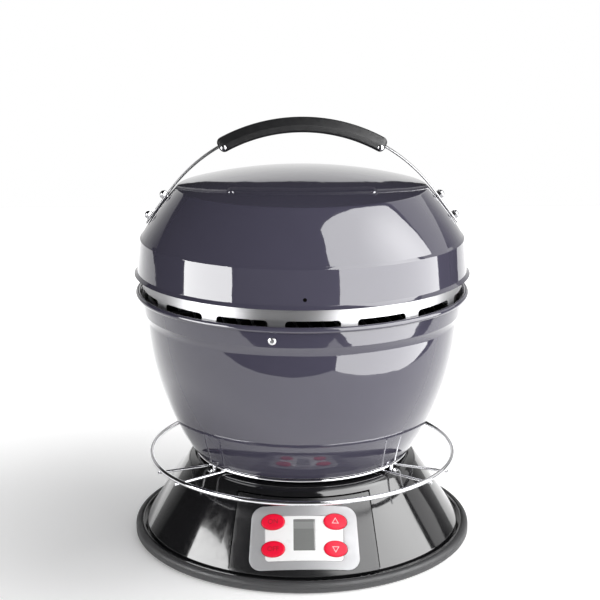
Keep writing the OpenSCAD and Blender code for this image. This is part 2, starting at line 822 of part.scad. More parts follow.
module motor_shaft() {
    low = motor_top - shaft_depth + 2 * fit;
    color(chrome) translate([0, 0, low]) cylinder(d = shaft_d, h = hub_top - hub_cap - low, $fn = 48);
}

module impeller() {
    blade_pitch = 38;
    blade_t = 2;
    blade_chord = 24;
    color(rubber_grey) difference() {
        union() {
            translate([0, 0, hub_z]) cylinder(r = hub_r, h = hub_h);
            intersection() {
                tube(hub_r - over, fan_r, hub_z, hub_top);
                for (i = [0:fan_blades - 1]) rotate([0, 0, i * 360 / fan_blades])
                    translate([fan_r / 2, 0, hub_z + hub_h / 2]) rotate([blade_pitch, 0, 0])
                        cube([1.1 * fan_r, blade_chord, blade_t], center = true);
            }
        }
        translate([0, 0, hub_z - over])
            cylinder(d = shaft_d + 2 * press, h = hub_h - hub_cap + over, $fn = 48);
        tube(shaft_d / 2 + hub_wall, hub_r - hub_wall, hub_z - over, hub_top - hub_wall);
    }
}

module air_duct() {
    lip = housing_top + 3;
    knee = deck_z - shell_t - 4;
    mouth = bowl_z - 2;
    color(gloss_black) rotate_extrude() polygon([
        [housing_in, housing_top], [housing_out, housing_top], [housing_out, lip],
        [duct_out, knee], [duct_out, mouth], [duct_d / 2, mouth], [duct_d / 2, knee],
        [housing_in, lip]
    ]);
}

module seat_gasket() {
    inner = duct_out + 3;
    width = 8;
    color(rubber_grey) tube(inner, inner + width, deck_z, bowl_z - seat);
}

module power_inlet() {
    color(lead_black) translate([0, inlet_y, inlet_z]) rotate([-90, 0, 0]) {
        difference() {
            union() {
                translate([0, 0, -inlet_l]) cylinder(d = inlet_d, h = inlet_l + fit, $fn = 48);
                translate([0, 0, fit / 2])
                    cylinder(d = inlet_d + 2 * inlet_flange_w, h = inlet_flange_t, $fn = 48);
            }
            translate([0, 0, -plug_l]) cylinder(d = plug_d, h = 2 * plug_l, $fn = 48);
        }
        translate([0, 0, -plug_l - over]) cylinder(d = pin_d, h = plug_l, $fn = 32);
    }
}

// Leads inside the base, clipped along the tray floor
lead_lift = 2;
lead_stand = 14;
lead_end = -board_depth - board_t - seat;
lead_z = tray_top + lead_d / 2 + lead_lift;
power_route = [
    [0, inlet_y - inlet_l - seat, inlet_z], [0, 132, inlet_z], [-30, 116, lead_z], [-84, 64, lead_z],
    [-96, -30, lead_z], [-56, -102, lead_z], panel_point(-30, 2, lead_end - lead_stand),
    panel_point(-30, 2, lead_end)
];
fan_route = [
    [0, -motor_d / 2 - fit, lead_z], [0, -70, lead_z], [26, -96, lead_z + 6],
    panel_point(30, 2, lead_end - lead_stand), panel_point(30, 2, lead_end)
];
// Points of a smooth curve through a route, a few to each leg
function leg_point(route, i, t) =
    let (n = len(route) - 1,
         a = route[max(0, i - 1)],
         b = route[i],
         c = route[i + 1],
         d = route[min(n, i + 2)])
    (b * 2 + (c - a) * t + (a * 2 - b * 5 + c * 4 - d) * t * t + (b * 3 - a - c * 3 + d) * t * t * t) / 2;
function smooth(route, steps = 5) = concat(
    [for (i = [0:len(route) - 2], k = [0:steps - 1]) leg_point(route, i, k / steps)],
    [route[len(route) - 1]]);
function unit(v) = v / norm(v);
// Round lead swept along a route as rings of eight points, square to its ends
module lead(route) {
    path = smooth(route);
    n = len(path);
    sides = 8;
    rings = [for (i = [0:n - 1])
        let (way = unit(path[min(n - 1, i + 1)] - path[max(0, i - 1)]),
             across = unit(cross(way, [0.31, 0.17, 1])),
             up = cross(across, way))
        for (k = [0:sides - 1])
            path[i] + lead_d / 2 * (across * cos(k * 360 / sides) + up * sin(k * 360 / sides))];
    walls = [for (i = [0:n - 2], k = [0:sides - 1])
        let (a = i * sides + k, b = i * sides + (k + 1) % sides)
        each [[a, b, b + sides], [a, b + sides, a + sides]]];
    caps = [[for (k = [sides - 1:-1:0]) k], [for (k = [0:sides - 1]) (n - 1) * sides + k]];
    polyhedron(points = rings, faces = concat(walls, caps), convexity = 6);
}
module power_lead() { color(lead_black) lead(power_route); }
module fan_lead() { color(lead_black) lead(fan_route); }

module guard_outer_ring() { color(chrome) torus(guard_d / 2, guard_wire, guard_z); }
module guard_inner_ring() { color(chrome) torus(seat_d / 2, seat_wire, seat_ring_z); }

module guard_spokes() {
    color(chrome) for (azs = spoke_azs) {
        inner = round_point(seat_d / 2, azs[0], spoke_z(seat_d / 2));
        outer = round_point(guard_d / 2, azs[1], spoke_z(guard_d / 2));
        way = (outer - inner) / norm(outer - inner);
        wire(inner - way * spoke_in, outer + way * spoke_tip, seat_wire);
    }
}

// Narrow clip hooked over the outside of the seat ring, with a foot on the deck edge
clip_foot_z = deck_z + fit / 2;
module frame_clips() {
    inner = seat_wire / 2 + fit;
    outer = inner + clip_t;
    color(chrome) for (az = clip_azs) polar(0, az) difference() {
        translate([0, clip_w / 2, 0]) rotate([90, 0, 0]) linear_extrude(height = clip_w)
            translate([seat_d / 2, 0]) union() {
                polygon(concat(
                    arc([0, seat_ring_z], outer, 0, clip_wrap, 6),
                    reversed(arc([0, seat_ring_z], inner, 0, clip_wrap, 6)),
                    [[inner, clip_foot_z], [outer, clip_foot_z]]));
                translate([inner, clip_foot_z]) square([clip_foot_l, clip_t]);
            }
        translate([clip_screw_r, 0, clip_foot_z - over])
            cylinder(d = clip_screw_d + 2 * fit, h = clip_t + 2 * over, $fn = 32);
    }
}
module frame_clip_screws() {
    color(chrome) for (az = clip_azs) polar(clip_screw_r, az) translate([0, 0, clip_foot_z + clip_t])
        pan_screw(clip_screw_d, clip_screw_l, clip_screw_wide);
}

// Wall line from the floor edge up the belly, inset from the outer skin
function belly_line(inset, rounding, floor_z, top_z) =
    let (r = belly_r - inset,
         c_z = floor_z + rounding,
         c_r = belly_c[0] + sqrt(pow(r - rounding, 2) - pow(c_z - belly_c[1], 2)),
         a = bearing_of([c_r, c_z] - belly_c),
         a_top = asin((top_z - belly_c[1]) / r))
    concat(arc([c_r, c_z], rounding, -90, a, 6), arc(belly_c, r, a, a_top, 16, 1));

module fire_bowl() {
    inner_step = bowl_t / cos(collar_tilt);
    color(enamel) difference() {
        rotate_extrude() {
            polygon(concat(
                [[air_hole_d / 2, bowl_z]],
                belly_line(0, bowl_round, bowl_z, neck[1]),
                [[collar_r(collar_z), collar_z], [collar_r(bead_z), bead_z]],
                [[collar_r(bead_z) - inner_step, bead_z], [collar_r(collar_z) - inner_step, collar_z]],
                reversed(belly_line(bowl_t, bowl_round - bowl_t, bowl_floor, neck[1])),
                [[air_hole_d / 2, bowl_floor]]));
            translate([bead_r, bead_z]) circle(d = bead_d, $fn = 48);
        }
        ring_screw_holes();
    }
}

// Frames on the outside of the collar with +Z along the outward normal
module ring_screw_places() {
    for (az = ring_screw_azs) polar(collar_r(ring_screw_z), az) translate([0, 0, ring_screw_z])
        rotate([0, 90 + collar_tilt, 0]) children();
}
module ring_screw_holes() {
    ring_screw_places() cylinder(d = ring_screw_d + 2 * fit, h = 2 * ring_screw_l, center = true, $fn = 32);
}

module slot_outline() {
    translate([-slot_w / 2, 0]) square([slot_w, slot_h - slot_round]);
    translate([-slot_w / 2 + slot_round, 0]) square([slot_w - 2 * slot_round, slot_h]);
    for (x = [-1, 1]) translate([x * (slot_w / 2 - slot_round), slot_h - slot_round])
        circle(r = slot_round, $fn = 32);
}
module vent_ring() {
    low_r = collar_r(ring_foot_z) - skirt_inset;
    low_t = ring_t / cos(collar_tilt);
    cut_in = 0.95 * ring_r;
    color(steel) {
        difference() {
            rotate_extrude() polygon([
                [low_r, ring_foot_z], [ring_r, ring_kink_z], [ring_r, ring_top_z],
                [ring_r - ring_t, ring_top_z], [ring_r - ring_t, ring_kink_z], [low_r - low_t, ring_foot_z]
            ]);
            for (i = [0:slot_count - 1]) rotate([0, 0, slot_az + i * 360 / slot_count])
                translate([0, -cut_in, slot_z]) rotate([90, 0, 0])
                    linear_extrude(height = ring_r - cut_in + over) slot_outline();
            ring_screw_holes();
        }
        for (az = tab_azs) polar(ring_r - ring_t / 2, az)
            translate([-tab_l, -tab_w / 2, tab_z - tab_t]) cube([tab_l, tab_w, tab_t]);
    }
}
module vent_ring_screws() {
    color(chrome) ring_screw_places() pan_screw(ring_screw_d, ring_screw_l);
}
module vent_ring_nuts() {
    back = bowl_t + ring_t + 2 * fit + seat;
    color(steel) difference() {
        ring_screw_places() translate([0, 0, -back - ring_nut_h])
            cylinder(d = ring_nut_d, h = ring_nut_h, $fn = 6);
        ring_screw_holes();
    }
}

liner_floor = bowl_floor + fit;
liner_ledge = 12;
liner_open_r = cup_d / 2 - liner_ledge;
liner_hole_d = 7;
liner_holes = 24;
module inner_liner() {
    inset = bowl_t + liner_gap;
    top = liner_floor + liner_h;
    rounding = 8;
    air_r = (cup_d / 2 + bowl_foot_d / 2 - liner_gap) / 2;
    color(steel) difference() {
        rotate_extrude() polygon(concat(
            [[liner_open_r, liner_floor]],
            belly_line(inset, rounding, liner_floor, top),
            reversed(belly_line(inset + liner_t, rounding - liner_t, liner_floor + liner_t, top)),
            [[liner_open_r, liner_floor + liner_t]]));
        for (i = [0:liner_holes - 1]) rotate([0, 0, i * 360 / liner_holes])
            translate([air_r, 0, liner_floor - over])
                cylinder(d = liner_hole_d, h = liner_t + 2 * over, $fn = 32);
    }
}

cup_z = liner_floor + liner_t + seat;
cup_top = cup_z + cup_h;
cup_rim = 6;
cup_hole_rise = 14;
cup_hole_step = 30;
cup_holes = 12;
floor_hole_d = 8;
floor_ring_r = 17;
// Ring of round holes through a flat plate
module hole_ring(count, r, d, z, t) {
    for (i = [0:count - 1]) rotate([0, 0, i * 360 / count]) translate([r, 0, z - over])
        cylinder(d = d, h = t + 2 * over, $fn = 32);
}
module fire_cup() {
    cup_r = cup_d / 2;
    color(steel) difference() {
        union() {
            translate([0, 0, cup_z]) difference() {
                cylinder(r = cup_r, h = cup_h);
                translate([0, 0, liner_t]) cylinder(r = cup_r - liner_t, h = cup_h);
            }
            tube(cup_r - liner_t, cup_r + cup_rim, cup_top - liner_t, cup_top);
        }
        for (i = [0:cup_holes - 1], row = [0, 1]) rotate([0, 0, (i + row / 2) * 360 / cup_holes])
            translate([cup_r - liner_t / 2, 0, cup_z + cup_hole_rise + row * cup_hole_step])
                rotate([0, 90, 0]) cylinder(d = cup_hole_d, h = 3 * liner_t, center = true, $fn = 32);
        hole_ring(1, 0, floor_hole_d, cup_z, liner_t);
        hole_ring(6, floor_ring_r, floor_hole_d, cup_z, liner_t);
        hole_ring(12, 2 * floor_ring_r, floor_hole_d, cup_z, liner_t);
    }
}
module flame_diffuser() {
    leg_r = cup_d / 2 + liner_t;
    leg_d = 5;
    plate_z = cup_top + diffuser_leg;
    plate_t = 2 * liner_t;
    hole_d = 12;
    inner_ring_r = 26;
    outer_ring_r = diffuser_d / 2 - 2 * hole_d;
    color(steel) {
        difference() {
            translate([0, 0, plate_z]) cylinder(d = diffuser_d, h = plate_t);
            hole_ring(12, outer_ring_r, hole_d, plate_z, plate_t);
            hole_ring(6, inner_ring_r, hole_d, plate_z, plate_t);
        }
        for (i = [0:2]) rotate([0, 0, i * 120 + 15]) translate([leg_r, 0, cup_top + fit])
            cylinder(d = leg_d, h = diffuser_leg - fit + plate_t / 2, $fn = 32);
    }
}

module cooking_grate() {
    hoop_r = hoop_d / 2;
    rail_y = hoop_r / 2.4;
    rail_half = sqrt(pow(hoop_r, 2) - pow(rail_y, 2));
    bars = floor((hoop_r - hoop_wire) / bar_pitch);
    color(steel) rotate([0, 0, grate_turn]) {
        torus(hoop_r, hoop_wire, hoop_z);
        for (i = [-bars:bars]) {
            half = sqrt(pow(hoop_r, 2) - pow(i * bar_pitch, 2));
            wire([i * bar_pitch, -half, hoop_z], [i * bar_pitch, half, hoop_z], bar_wire);
        }
        for (y = [-rail_y, rail_y]) wire([-rail_half, y, hoop_z], [rail_half, y, hoop_z], hoop_wire);
    }
}

// Lid skin line from the edge to the crown, inset by a wall
function lid_line(inset) = concat(
    [lid_edge - [inset, 0], lid_crease - [inset, 0], ledge_low - inset * ledge_out],
    arc(flank_c, flank_r - inset, flank_a0, flank_a1, 12),
    arc(edge_c, crown_round - inset, flank_a1, crown_a0, 5, 1),
    arc(crown_c, crown_r - inset, crown_a0, 90, 12, 1));
module lid_shell() {
    color(enamel) difference() {
        rotate_extrude() polygon(concat(lid_line(0), reversed(lid_line(lid_t))));
        bolt_holes();
        translate([0, 0, lid_z + flare_h + lid_hole_rise]) rotate([90, 0, 0])
            cylinder(d = lid_hole_d, h = lid_d, $fn = 32);
    }
}

// Frames at the four handle bolts, on the middle of the strap with +Z outward
module bolt_places() {
    for (side = [0, 180], along = [-0.5, 0.5]) {
        at = leg_mid + leg_way * along * bolt_pitch;
        rotate([0, 0, side]) translate([at[0], 0, at[1]]) rotate([0, 90 - bolt_a, 0]) children();
    }
}
module bolt_holes() {
    bolt_places() cylinder(d = bolt_d + 2 * fit, h = 4 * bolt_d, center = true, $fn = 32);
}
module handle_bow() {
    half = bow_t / 2;
    color(steel) difference() {
        translate([0, bow_w / 2, 0]) rotate([90, 0, 0]) linear_extrude(height = bow_w) polygon(concat(
            [[leg_end[0] + half * leg_out[0], leg_end[1] + half * leg_out[1]]],
            arc(bow_c, bow_r + half, bolt_a, 180 - bolt_a, 32),
            [[-leg_end[0] - half * leg_out[0], leg_end[1] + half * leg_out[1]]],
            [[-leg_end[0] + half * leg_out[0], leg_end[1] - half * leg_out[1]]],
            arc(bow_c, bow_r - half, 180 - bolt_a, bolt_a, 32),
            [[leg_end[0] - half * leg_out[0], leg_end[1] - half * leg_out[1]]]));
        bolt_holes();
    }
}

// Frames at the two grip screws with +Z towards the front
module grip_screw_places() {
    for (side = [-1, 1]) translate([side * grip_screw_at[0], 0, grip_screw_at[1]])
        rotate([90, 0, 0]) children();
}
grip_head_depth = 2;
module grip_half(front) {
    color(grip_black) difference() {
        translate([0, 0, bow_c[1]]) rotate([90, 0, 0]) rotate([0, 0, 90 - grip_half_angle])
            rotate_extrude(angle = 2 * grip_half_angle) translate([bow_r, 0]) difference() {
                intersection() {
                    rounded_rect(grip_h, grip_w, grip_round);
                    translate([-grip_h, front ? fit / 2 : -grip_w - fit / 2]) square([2 * grip_h, grip_w]);
                }
                square([bow_t + 4 * fit, bow_w + 2 * fit], center = true);
            }
        grip_screw_places() {
            translate([0, 0, -grip_screw_l / 2])
                cylinder(d = grip_screw_d + 2 * fit, h = grip_w, $fn = 32);
            translate([0, 0, grip_w / 2 - grip_head_depth])
                cylinder(d = grip_screw_d * pan_wide + 2 * fit, h = grip_w, $fn = 32);
        }
    }
}
module grip_front_half() { grip_half(true); }
module grip_rear_half() { grip_half(false); }
module grip_screws() {
    color(chrome) grip_screw_places() translate([0, 0, grip_w / 2 - grip_head_depth])
        pan_screw(grip_screw_d, grip_screw_l - grip_head_depth);
}

module handle_bolts() {
    inside = bow_t / 2 + fit + lid_t + bolt_sag + fit;
    color(chrome) bolt_places() {
        translate([0, 0, -inside]) cylinder(d = bolt_d, h = inside + bow_t / 2 + nut_h - over, $fn = 32);
        translate([0, 0, -inside - bolt_head_h])
            cylinder(d1 = nut_d - bolt_head_h, d2 = nut_d, h = bolt_head_h, $fn = 48);
    }
}
module handle_nuts() {
    color(chrome) bolt_places() translate([0, 0, bow_t / 2 + fit / 2]) difference() {
        union() {
            cylinder(d = nut_d, h = nut_h, $fn = 6);
            intersection() {
                translate([0, 0, nut_h / 2]) sphere(d = nut_d - nut_dome_in, $fn = 48);
                cylinder(d = nut_d, h = 2 * nut_h);
            }
        }
        translate([0, 0, -over]) cylinder(d = bolt_d + 2 * fit, h = nut_h + over / 2, $fn = 32);
    }
}

base_shell();
console();
control_bezel();
control_label();
display_window();
display_module();
on_button();
off_button();
up_button();
down_button();
button_switches();
control_board();
board_screws();
base_tray();
bumper_ring();
rubber_feet();
tray_screws();
blower_housing();
blower_screws();
fan_motor();
motor_shaft();
impeller();
air_duct();
seat_gasket();
power_inlet();
power_lead();
fan_lead();
guard_outer_ring();
guard_inner_ring();
guard_spokes();
frame_clips();
frame_clip_screws();
fire_bowl();
vent_ring();
vent_ring_screws();
vent_ring_nuts();
inner_liner();
fire_cup();
flame_diffuser();
cooking_grate();
lid_shell();
handle_bow();
grip_front_half();
grip_rear_half();
grip_screws();
handle_bolts();
handle_nuts();
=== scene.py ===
# %% [markdown]
# # A portable wood-fired grill
# The solids of the grill are already built to size. Here they get their finish: fine
# surfaces, real fasteners, printed marks and materials. Everything is in metres, with
# the floor at z = 0, the control panel facing -Y and +X on the right.

# %% Load the solids
import math

import bmesh
import bpy
import numpy as np
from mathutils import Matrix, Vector
from mathutils.geometry import delaunay_2d_cdt


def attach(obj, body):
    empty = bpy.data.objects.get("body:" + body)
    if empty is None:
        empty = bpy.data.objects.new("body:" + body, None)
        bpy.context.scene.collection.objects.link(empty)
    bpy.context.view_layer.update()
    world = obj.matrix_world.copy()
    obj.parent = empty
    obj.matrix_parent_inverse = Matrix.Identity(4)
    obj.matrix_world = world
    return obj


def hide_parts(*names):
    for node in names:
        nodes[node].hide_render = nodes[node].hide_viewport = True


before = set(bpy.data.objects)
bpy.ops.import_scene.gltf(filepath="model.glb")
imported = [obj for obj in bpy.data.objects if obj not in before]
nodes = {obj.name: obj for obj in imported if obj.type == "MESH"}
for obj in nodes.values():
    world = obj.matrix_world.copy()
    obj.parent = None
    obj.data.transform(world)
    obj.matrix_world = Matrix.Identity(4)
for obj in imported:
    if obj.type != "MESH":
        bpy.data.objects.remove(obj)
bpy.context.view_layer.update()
scene = bpy.context.scene
MM = 0.001

# %% [markdown]
# ## Camera
# The ellipses of the base, the bowl rim and the lid rim fix where the photographer stood:
# a little above the lid, about one and a half metres away, with a short telephoto lens.
# The camera also stands a little to the left of the panel's own middle.

# %% Camera
CAMERA_BACK = 1.5477
CAMERA_UP = 0.6545
CAMERA_PITCH = math.radians(14.11)
PANEL_TURN = math.radians(0.9)
AIM_TURN = math.radians(0.084)
LENS_MM = 86.19

camera_data = bpy.data.cameras.new("camera")
camera_data.lens = LENS_MM
camera_data.sensor_width = 36
camera = bpy.data.objects.new("camera", camera_data)
camera.location = (-CAMERA_BACK * math.sin(PANEL_TURN), -CAMERA_BACK * math.cos(PANEL_TURN), CAMERA_UP)
camera.rotation_euler = (math.pi / 2 - CAMERA_PITCH, 0, AIM_TURN - PANEL_TURN)
scene.collection.objects.link(camera)
scene.camera = camera
scene.view_settings.view_transform = "Standard"
print("camera at", [round(v, 3) for v in camera.location])


# %% [markdown]
# ## Node helper
# Shader trees and geometry trees are both nodes with named sockets, so one small helper
# makes a node, sets its properties and either links a socket or writes its value. A few
# more stand for what trees need most: a sum, a changed range, a mixed colour, a place.

# %% Node helper
def add_node(tree, kind, inputs=None, **settings):
    made = tree.nodes.new(kind)
    for key, value in settings.items():
        setattr(made, key, value)
    for key, value in (inputs or {}).items():
        if isinstance(value, bpy.types.NodeSocket):
            tree.links.new(value, made.inputs[key])
        else:
            made.inputs[key].default_value = value
    return made


def calc(tree, operation, *values, **settings):
    """The result of a Math node over sockets and numbers."""
    return add_node(tree, "ShaderNodeMath", dict(enumerate(values)), operation=operation, **settings).outputs[0]


def remap(tree, value, start, stop, low=0.0, high=1.0, **settings):
    """A value between start and stop, carried over to between low and high."""
    return add_node(tree, "ShaderNodeMapRange", {
        "Value": value, "From Min": start, "From Max": stop, "To Min": low, "To Max": high}, **settings).outputs[0]


def blend(tree, factor, first, second):
    """A colour between two others."""
    return add_node(tree, "ShaderNodeMix", {0: factor, 6: first, 7: second}, data_type="RGBA").outputs[2]


def own_place(tree):
    """The place of a point on its own object, in metres."""
    return add_node(tree, "ShaderNodeTexCoord").outputs["Object"]


def distance(tree, centre):
    away = add_node(tree, "ShaderNodeVectorMath", {0: own_place(tree), 1: centre}, operation="DISTANCE")
    return away.outputs["Value"]


print("node helpers ready")


# %% [markdown]
# ## Studio
# The photograph was lit by a very large panel of cloth on the right, a tall softbox on
# the left and a white backdrop behind a white table, in an otherwise dark room. Gloss
# enamel is mostly its reflections, so the same shapes stand here as glowing sheets. The
# camera doesn't see them, and sees plain white beyond the table.

# %% Studio helpers
def linked(name, data):
    made = bpy.data.objects.new(name, data)
    scene.collection.objects.link(made)
    return made


def plain_mesh(name, points, faces):
    mesh = bpy.data.meshes.new(name)
    mesh.from_pydata([tuple(p) for p in points], [], faces)
    mesh.update()
    return linked(name, mesh)


def new_material(name):
    material = bpy.data.materials.new(name)
    material.use_nodes = True
    material.node_tree.nodes.clear()
    tree = material.node_tree
    return material, tree, add_node(tree, "ShaderNodeOutputMaterial")


def upright_sheet(name, azimuth, gap, outline):
    """Flat sheet facing the grill; its outline is (across, height) in metres."""
    a = math.radians(azimuth)
    away = Vector((math.sin(a), -math.cos(a), 0)) * gap
    across = Vector((math.cos(a), math.sin(a), 0))
    points = [away + across * u + Vector((0, 0, z)) for u, z in outline]
    return plain_mesh(name, points, [tuple(range(len(points)))])


def box_outline(left, right, low, high):
    return [(left, low), (right, low), (right, high), (left, high)]


def glow(name, lit, mirrored, centre=None, reach=1.0, dim=0.5):
    """Emission that lights the scene by one strength and shows in gloss by another."""
    material, tree, out = new_material(name)
    path = add_node(tree, "ShaderNodeLightPath").outputs
    strength = remap(tree, path["Is Glossy Ray"], 0.0, 1.0, lit, mirrored)
    if centre is not None:
        fade = remap(tree, distance(tree, centre), 0.0, reach, 1.0, dim, interpolation_type="SMOOTHSTEP")
        strength = calc(tree, "MULTIPLY", strength, fade)
    shine = add_node(tree, "ShaderNodeEmission", {"Strength": strength})
    tree.links.new(shine.outputs[0], out.inputs["Surface"])
    return material


print("studio helpers ready")

# %% [markdown]
# ### Table
# The grill stands on white paper that keeps its soft shadow. To the camera the paper grows
# brighter away from the shadow side until it meets the white room, and in the gloss of the
# base it shows darker close to the grill. Both are done by distance from a spot.

# %% Table
TABLE_EDGE = [(-2.6, -0.3), (-0.467, -0.49), (0.2, -0.584), (0.444, -0.336), (0.778, 0.141), (2.1, 2.0), (-2.6, 2.0)]
SHADOW_SPOT, SHADOW_REACH, SHADOW_GLOW = (-0.22, -0.1, 0), (0.05, 0.6), (0.15, 0.75)
MIRROR_SPOT, MIRROR_REACH, MIRROR_GLOW = (-0.15, 0.05, 0), (0.12, 0.3), (0.1, 0.75)
table = plain_mesh("studio_table", [(x, y, 0) for x, y in TABLE_EDGE], [tuple(range(len(TABLE_EDGE)))])
material, tree, out = new_material("studio_paper")
path = add_node(tree, "ShaderNodeLightPath").outputs
seen = remap(tree, distance(tree, SHADOW_SPOT), *SHADOW_REACH, *SHADOW_GLOW)
mirrored = remap(tree, distance(tree, MIRROR_SPOT), *MIRROR_REACH, *MIRROR_GLOW)
paper_glow = calc(tree, "MULTIPLY", path["Is Camera Ray"], seen)
paper_glow = calc(tree, "MULTIPLY_ADD", path["Is Glossy Ray"], mirrored, paper_glow)
paper = add_node(tree, "ShaderNodeBsdfPrincipled", {
    "Base Color": (0.9, 0.9, 0.9, 1), "Roughness": 0.8, "Specular IOR Level": 0.1,
    "Emission Color": (1, 1, 1, 1), "Emission Strength": paper_glow})
tree.links.new(paper.outputs[0], out.inputs["Surface"])
table.data.materials.append(material)
print("table:", len(TABLE_EDGE), "corners")

# %% [markdown]
# ### Light sheets
# The outlines of the sheets were read from their mirror images on the enamel: the notch in
# the backdrop is where the crown of the lid stays dark, the cloth has a slanted top and the
# tall box leans. Each is (across, height), with its azimuth, distance and two strengths.

# %% Light sheets
ARCH = [(0.47, 0.55), (0.44, 0.69), (0.38, 1.0), (0.3, 1.12), (0.22, 1.23), (0.1, 1.28), (-0.1, 1.26),
        (-0.2, 1.2), (-0.3, 1.04), (-0.37, 0.76), (-0.42, 0.55)]
BACKDROP = [(-3.0, 0.0), (3.0, 0.0), (3.0, 1.28), (0.9, 1.28), (0.6, 0.55)] + ARCH
BACKDROP += [(-0.6, 0.55), (-0.9, 1.28), (-3.0, 1.28)]
CLOTH = [(-1.0, -0.9), (2.65, -0.9), (2.65, 1.15), (3.08, 2.0), (2.67, 3.6), (0.62, 4.1), (-0.66, 4.7), (-1.1, 4.58)]
TALL = [(-0.43, -0.3), (0.96, -0.3), (0.8, 0.25), (0.5, 1.36), (-0.82, 1.0), (-0.58, 0.2)]
SHEETS = (
    ("backdrop", 180, 2.0, [(-x, z) for x, z in BACKDROP], 0.9, 0.84,
     {"centre": (0, 2.0, 0.6), "reach": 3.2, "dim": 0.1}),
    ("cloth_panel", 50, 2.0, CLOTH, 3.2, 8.6, {"centre": (2.44, -0.2, 2.17), "reach": 1.6, "dim": 0.73}),
    ("tall_box", -68, 2.0, TALL, 1.4, 10.5, {}),
    ("side_wall", 125, 4.2, box_outline(-1.3, 2.2, 0.6, 5.0), 0.3, 1.0, {}),
    ("front_wall", 0, 3.0, box_outline(-3, 3, 0, 2.6), 1.7, 0.12, {}),
)
for name, azimuth, gap, outline, lit, mirrored, fade in SHEETS:
    sheet = upright_sheet("studio_" + name, azimuth, gap, outline)
    sheet.data.materials.append(glow(name + "_glow", lit, mirrored, **fade))
    sheet.visible_camera = False

# %% [markdown]
# ### Room
# The room is dark, so that gloss stays deep between the sheets. Only the camera, and what
# it sees through something clear, meets plain white, as in a cut-out picture.

# %% Dark room, white to the camera
ROOM_LIT, ROOM_MIRRORED = 0.12, 0.02
world = bpy.data.worlds.new("room")
scene.world = world
world.use_nodes = True
tree = world.node_tree
tree.nodes.clear()
path = add_node(tree, "ShaderNodeLightPath").outputs
white = calc(tree, "ADD", path["Is Camera Ray"], path["Is Transmission Ray"], use_clamp=True)
dark = remap(tree, path["Is Glossy Ray"], 0.0, 1.0, ROOM_LIT, ROOM_MIRRORED)
strength = add_node(tree, "ShaderNodeMix", {0: white, 2: dark, 3: 1.0})
room = add_node(tree, "ShaderNodeBackground", {"Color": (1, 1, 1, 1), "Strength": strength.outputs[0]})
tree.links.new(room.outputs[0], add_node(tree, "ShaderNodeOutputWorld").inputs["Surface"])
print("room:", world.name)


# %% [markdown]
# ## Finishes
# Each finish is one Principled shader. What differs over the surface, such as faint colour
# drift, polish, grain and waviness, comes from noise on the object's own coordinates, in
# metres, so a pattern keeps its real scale on every piece.

# %% Finish builder
def finish(name, colour, roughness, drift=0.08, drift_scale=60, rough_spread=0.04, rough_scale=140,
           bumps=(), stretch=(1, 1, 1), **sockets):
    """Principled material: colour drift, uneven polish and any number of (scale, depth in metres) bumps."""
    material, tree, out = new_material(name)
    place = add_node(tree, "ShaderNodeMapping", {"Vector": own_place(tree), "Scale": stretch}).outputs[0]

    def noise(scale, detail):
        return add_node(tree, "ShaderNodeTexNoise", {"Vector": place, "Scale": scale, "Detail": detail}).outputs["Fac"]

    pale = [min(1, c * (1 + drift)) for c in colour]
    deep = [c * (1 - drift) for c in colour]
    shine = remap(tree, noise(rough_scale, 4.0), 0.3, 0.7, max(0, roughness - rough_spread), roughness + rough_spread)
    values = {"Base Color": blend(tree, noise(drift_scale, 3.0), (*deep, 1), (*pale, 1)), "Roughness": shine, **sockets}
    normal = None
    for scale, depth in bumps:
        bump = add_node(tree, "ShaderNodeBump", {"Height": noise(scale, 2.0), "Distance": depth, "Strength": 1.0})
        if normal is not None:
            tree.links.new(normal, bump.inputs["Normal"])
        normal = bump.outputs[0]
    if normal is not None:
        values["Normal"] = normal
    shader = add_node(tree, "ShaderNodeBsdfPrincipled", values)
    if normal is not None and sockets.get("Coat Weight"):
        tree.links.new(normal, shader.inputs["Coat Normal"])
    tree.links.new(shader.outputs[0], out.inputs["Surface"])
    return material


FINISH = {}
print("finish builder ready")

# %% [markdown]
# ### Enamel, mouldings and rubber
# Enamel is glass fused on steel: a coloured coat under a clear, slightly wavy gloss. The base
# is polished moulding, the console in it a little duller. Rubber, grip and leads are matt,
# with a fine grain.

# %% Enamel, mouldings and rubber
FINISH.update({
    "enamel": finish("grey_violet_enamel", (0.066, 0.062, 0.092), 0.07, drift=0.04, drift_scale=40,
                     rough_spread=0.03, bumps=((34, 0.00016), (420, 0.0000016)),
                     **{"Coat Weight": 1.0, "Coat Roughness": 0.02, "Coat IOR": 1.6, "Specular IOR Level": 0.15}),
    "gloss_black": finish("gloss_black_moulding", (0.011, 0.011, 0.012), 0.09, drift=0.2, rough_spread=0.03,
                          bumps=((45, 0.00002), (700, 0.0000012)),
                          **{"Coat Weight": 0.5, "Coat Roughness": 0.03}),
    "console_black": finish("satin_console_moulding", (0.012, 0.012, 0.013), 0.24, drift=0.2, rough_spread=0.02,
                            bumps=((1500, 0.0000008),)),
    "inner_black": finish("satin_black_moulding", (0.02, 0.02, 0.022), 0.4, drift=0.2, bumps=((1800, 0.00001),)),
    "rubber_grey": finish("grey_rubber", (0.052, 0.052, 0.054), 0.5, drift=0.15, drift_scale=25, rough_spread=0.08,
                          rough_scale=60, bumps=((2600, 0.00002), (60, 0.00006))),
    "grip_black": finish("black_grip", (0.015, 0.015, 0.016), 0.42, drift=0.25, drift_scale=180, rough_spread=0.1,
                         rough_scale=220, bumps=((900, 0.00012), (2600, 0.00005))),
    "board_green": finish("green_board", (0.02, 0.13, 0.05), 0.35, drift=0.3, drift_scale=400, bumps=((900, 0.00002),)),
    "lead_black": finish("black_lead", (0.018, 0.018, 0.018), 0.5, drift=0.2, bumps=((800, 0.00002),)),
})
print("plastic finishes:", ", ".join(FINISH))

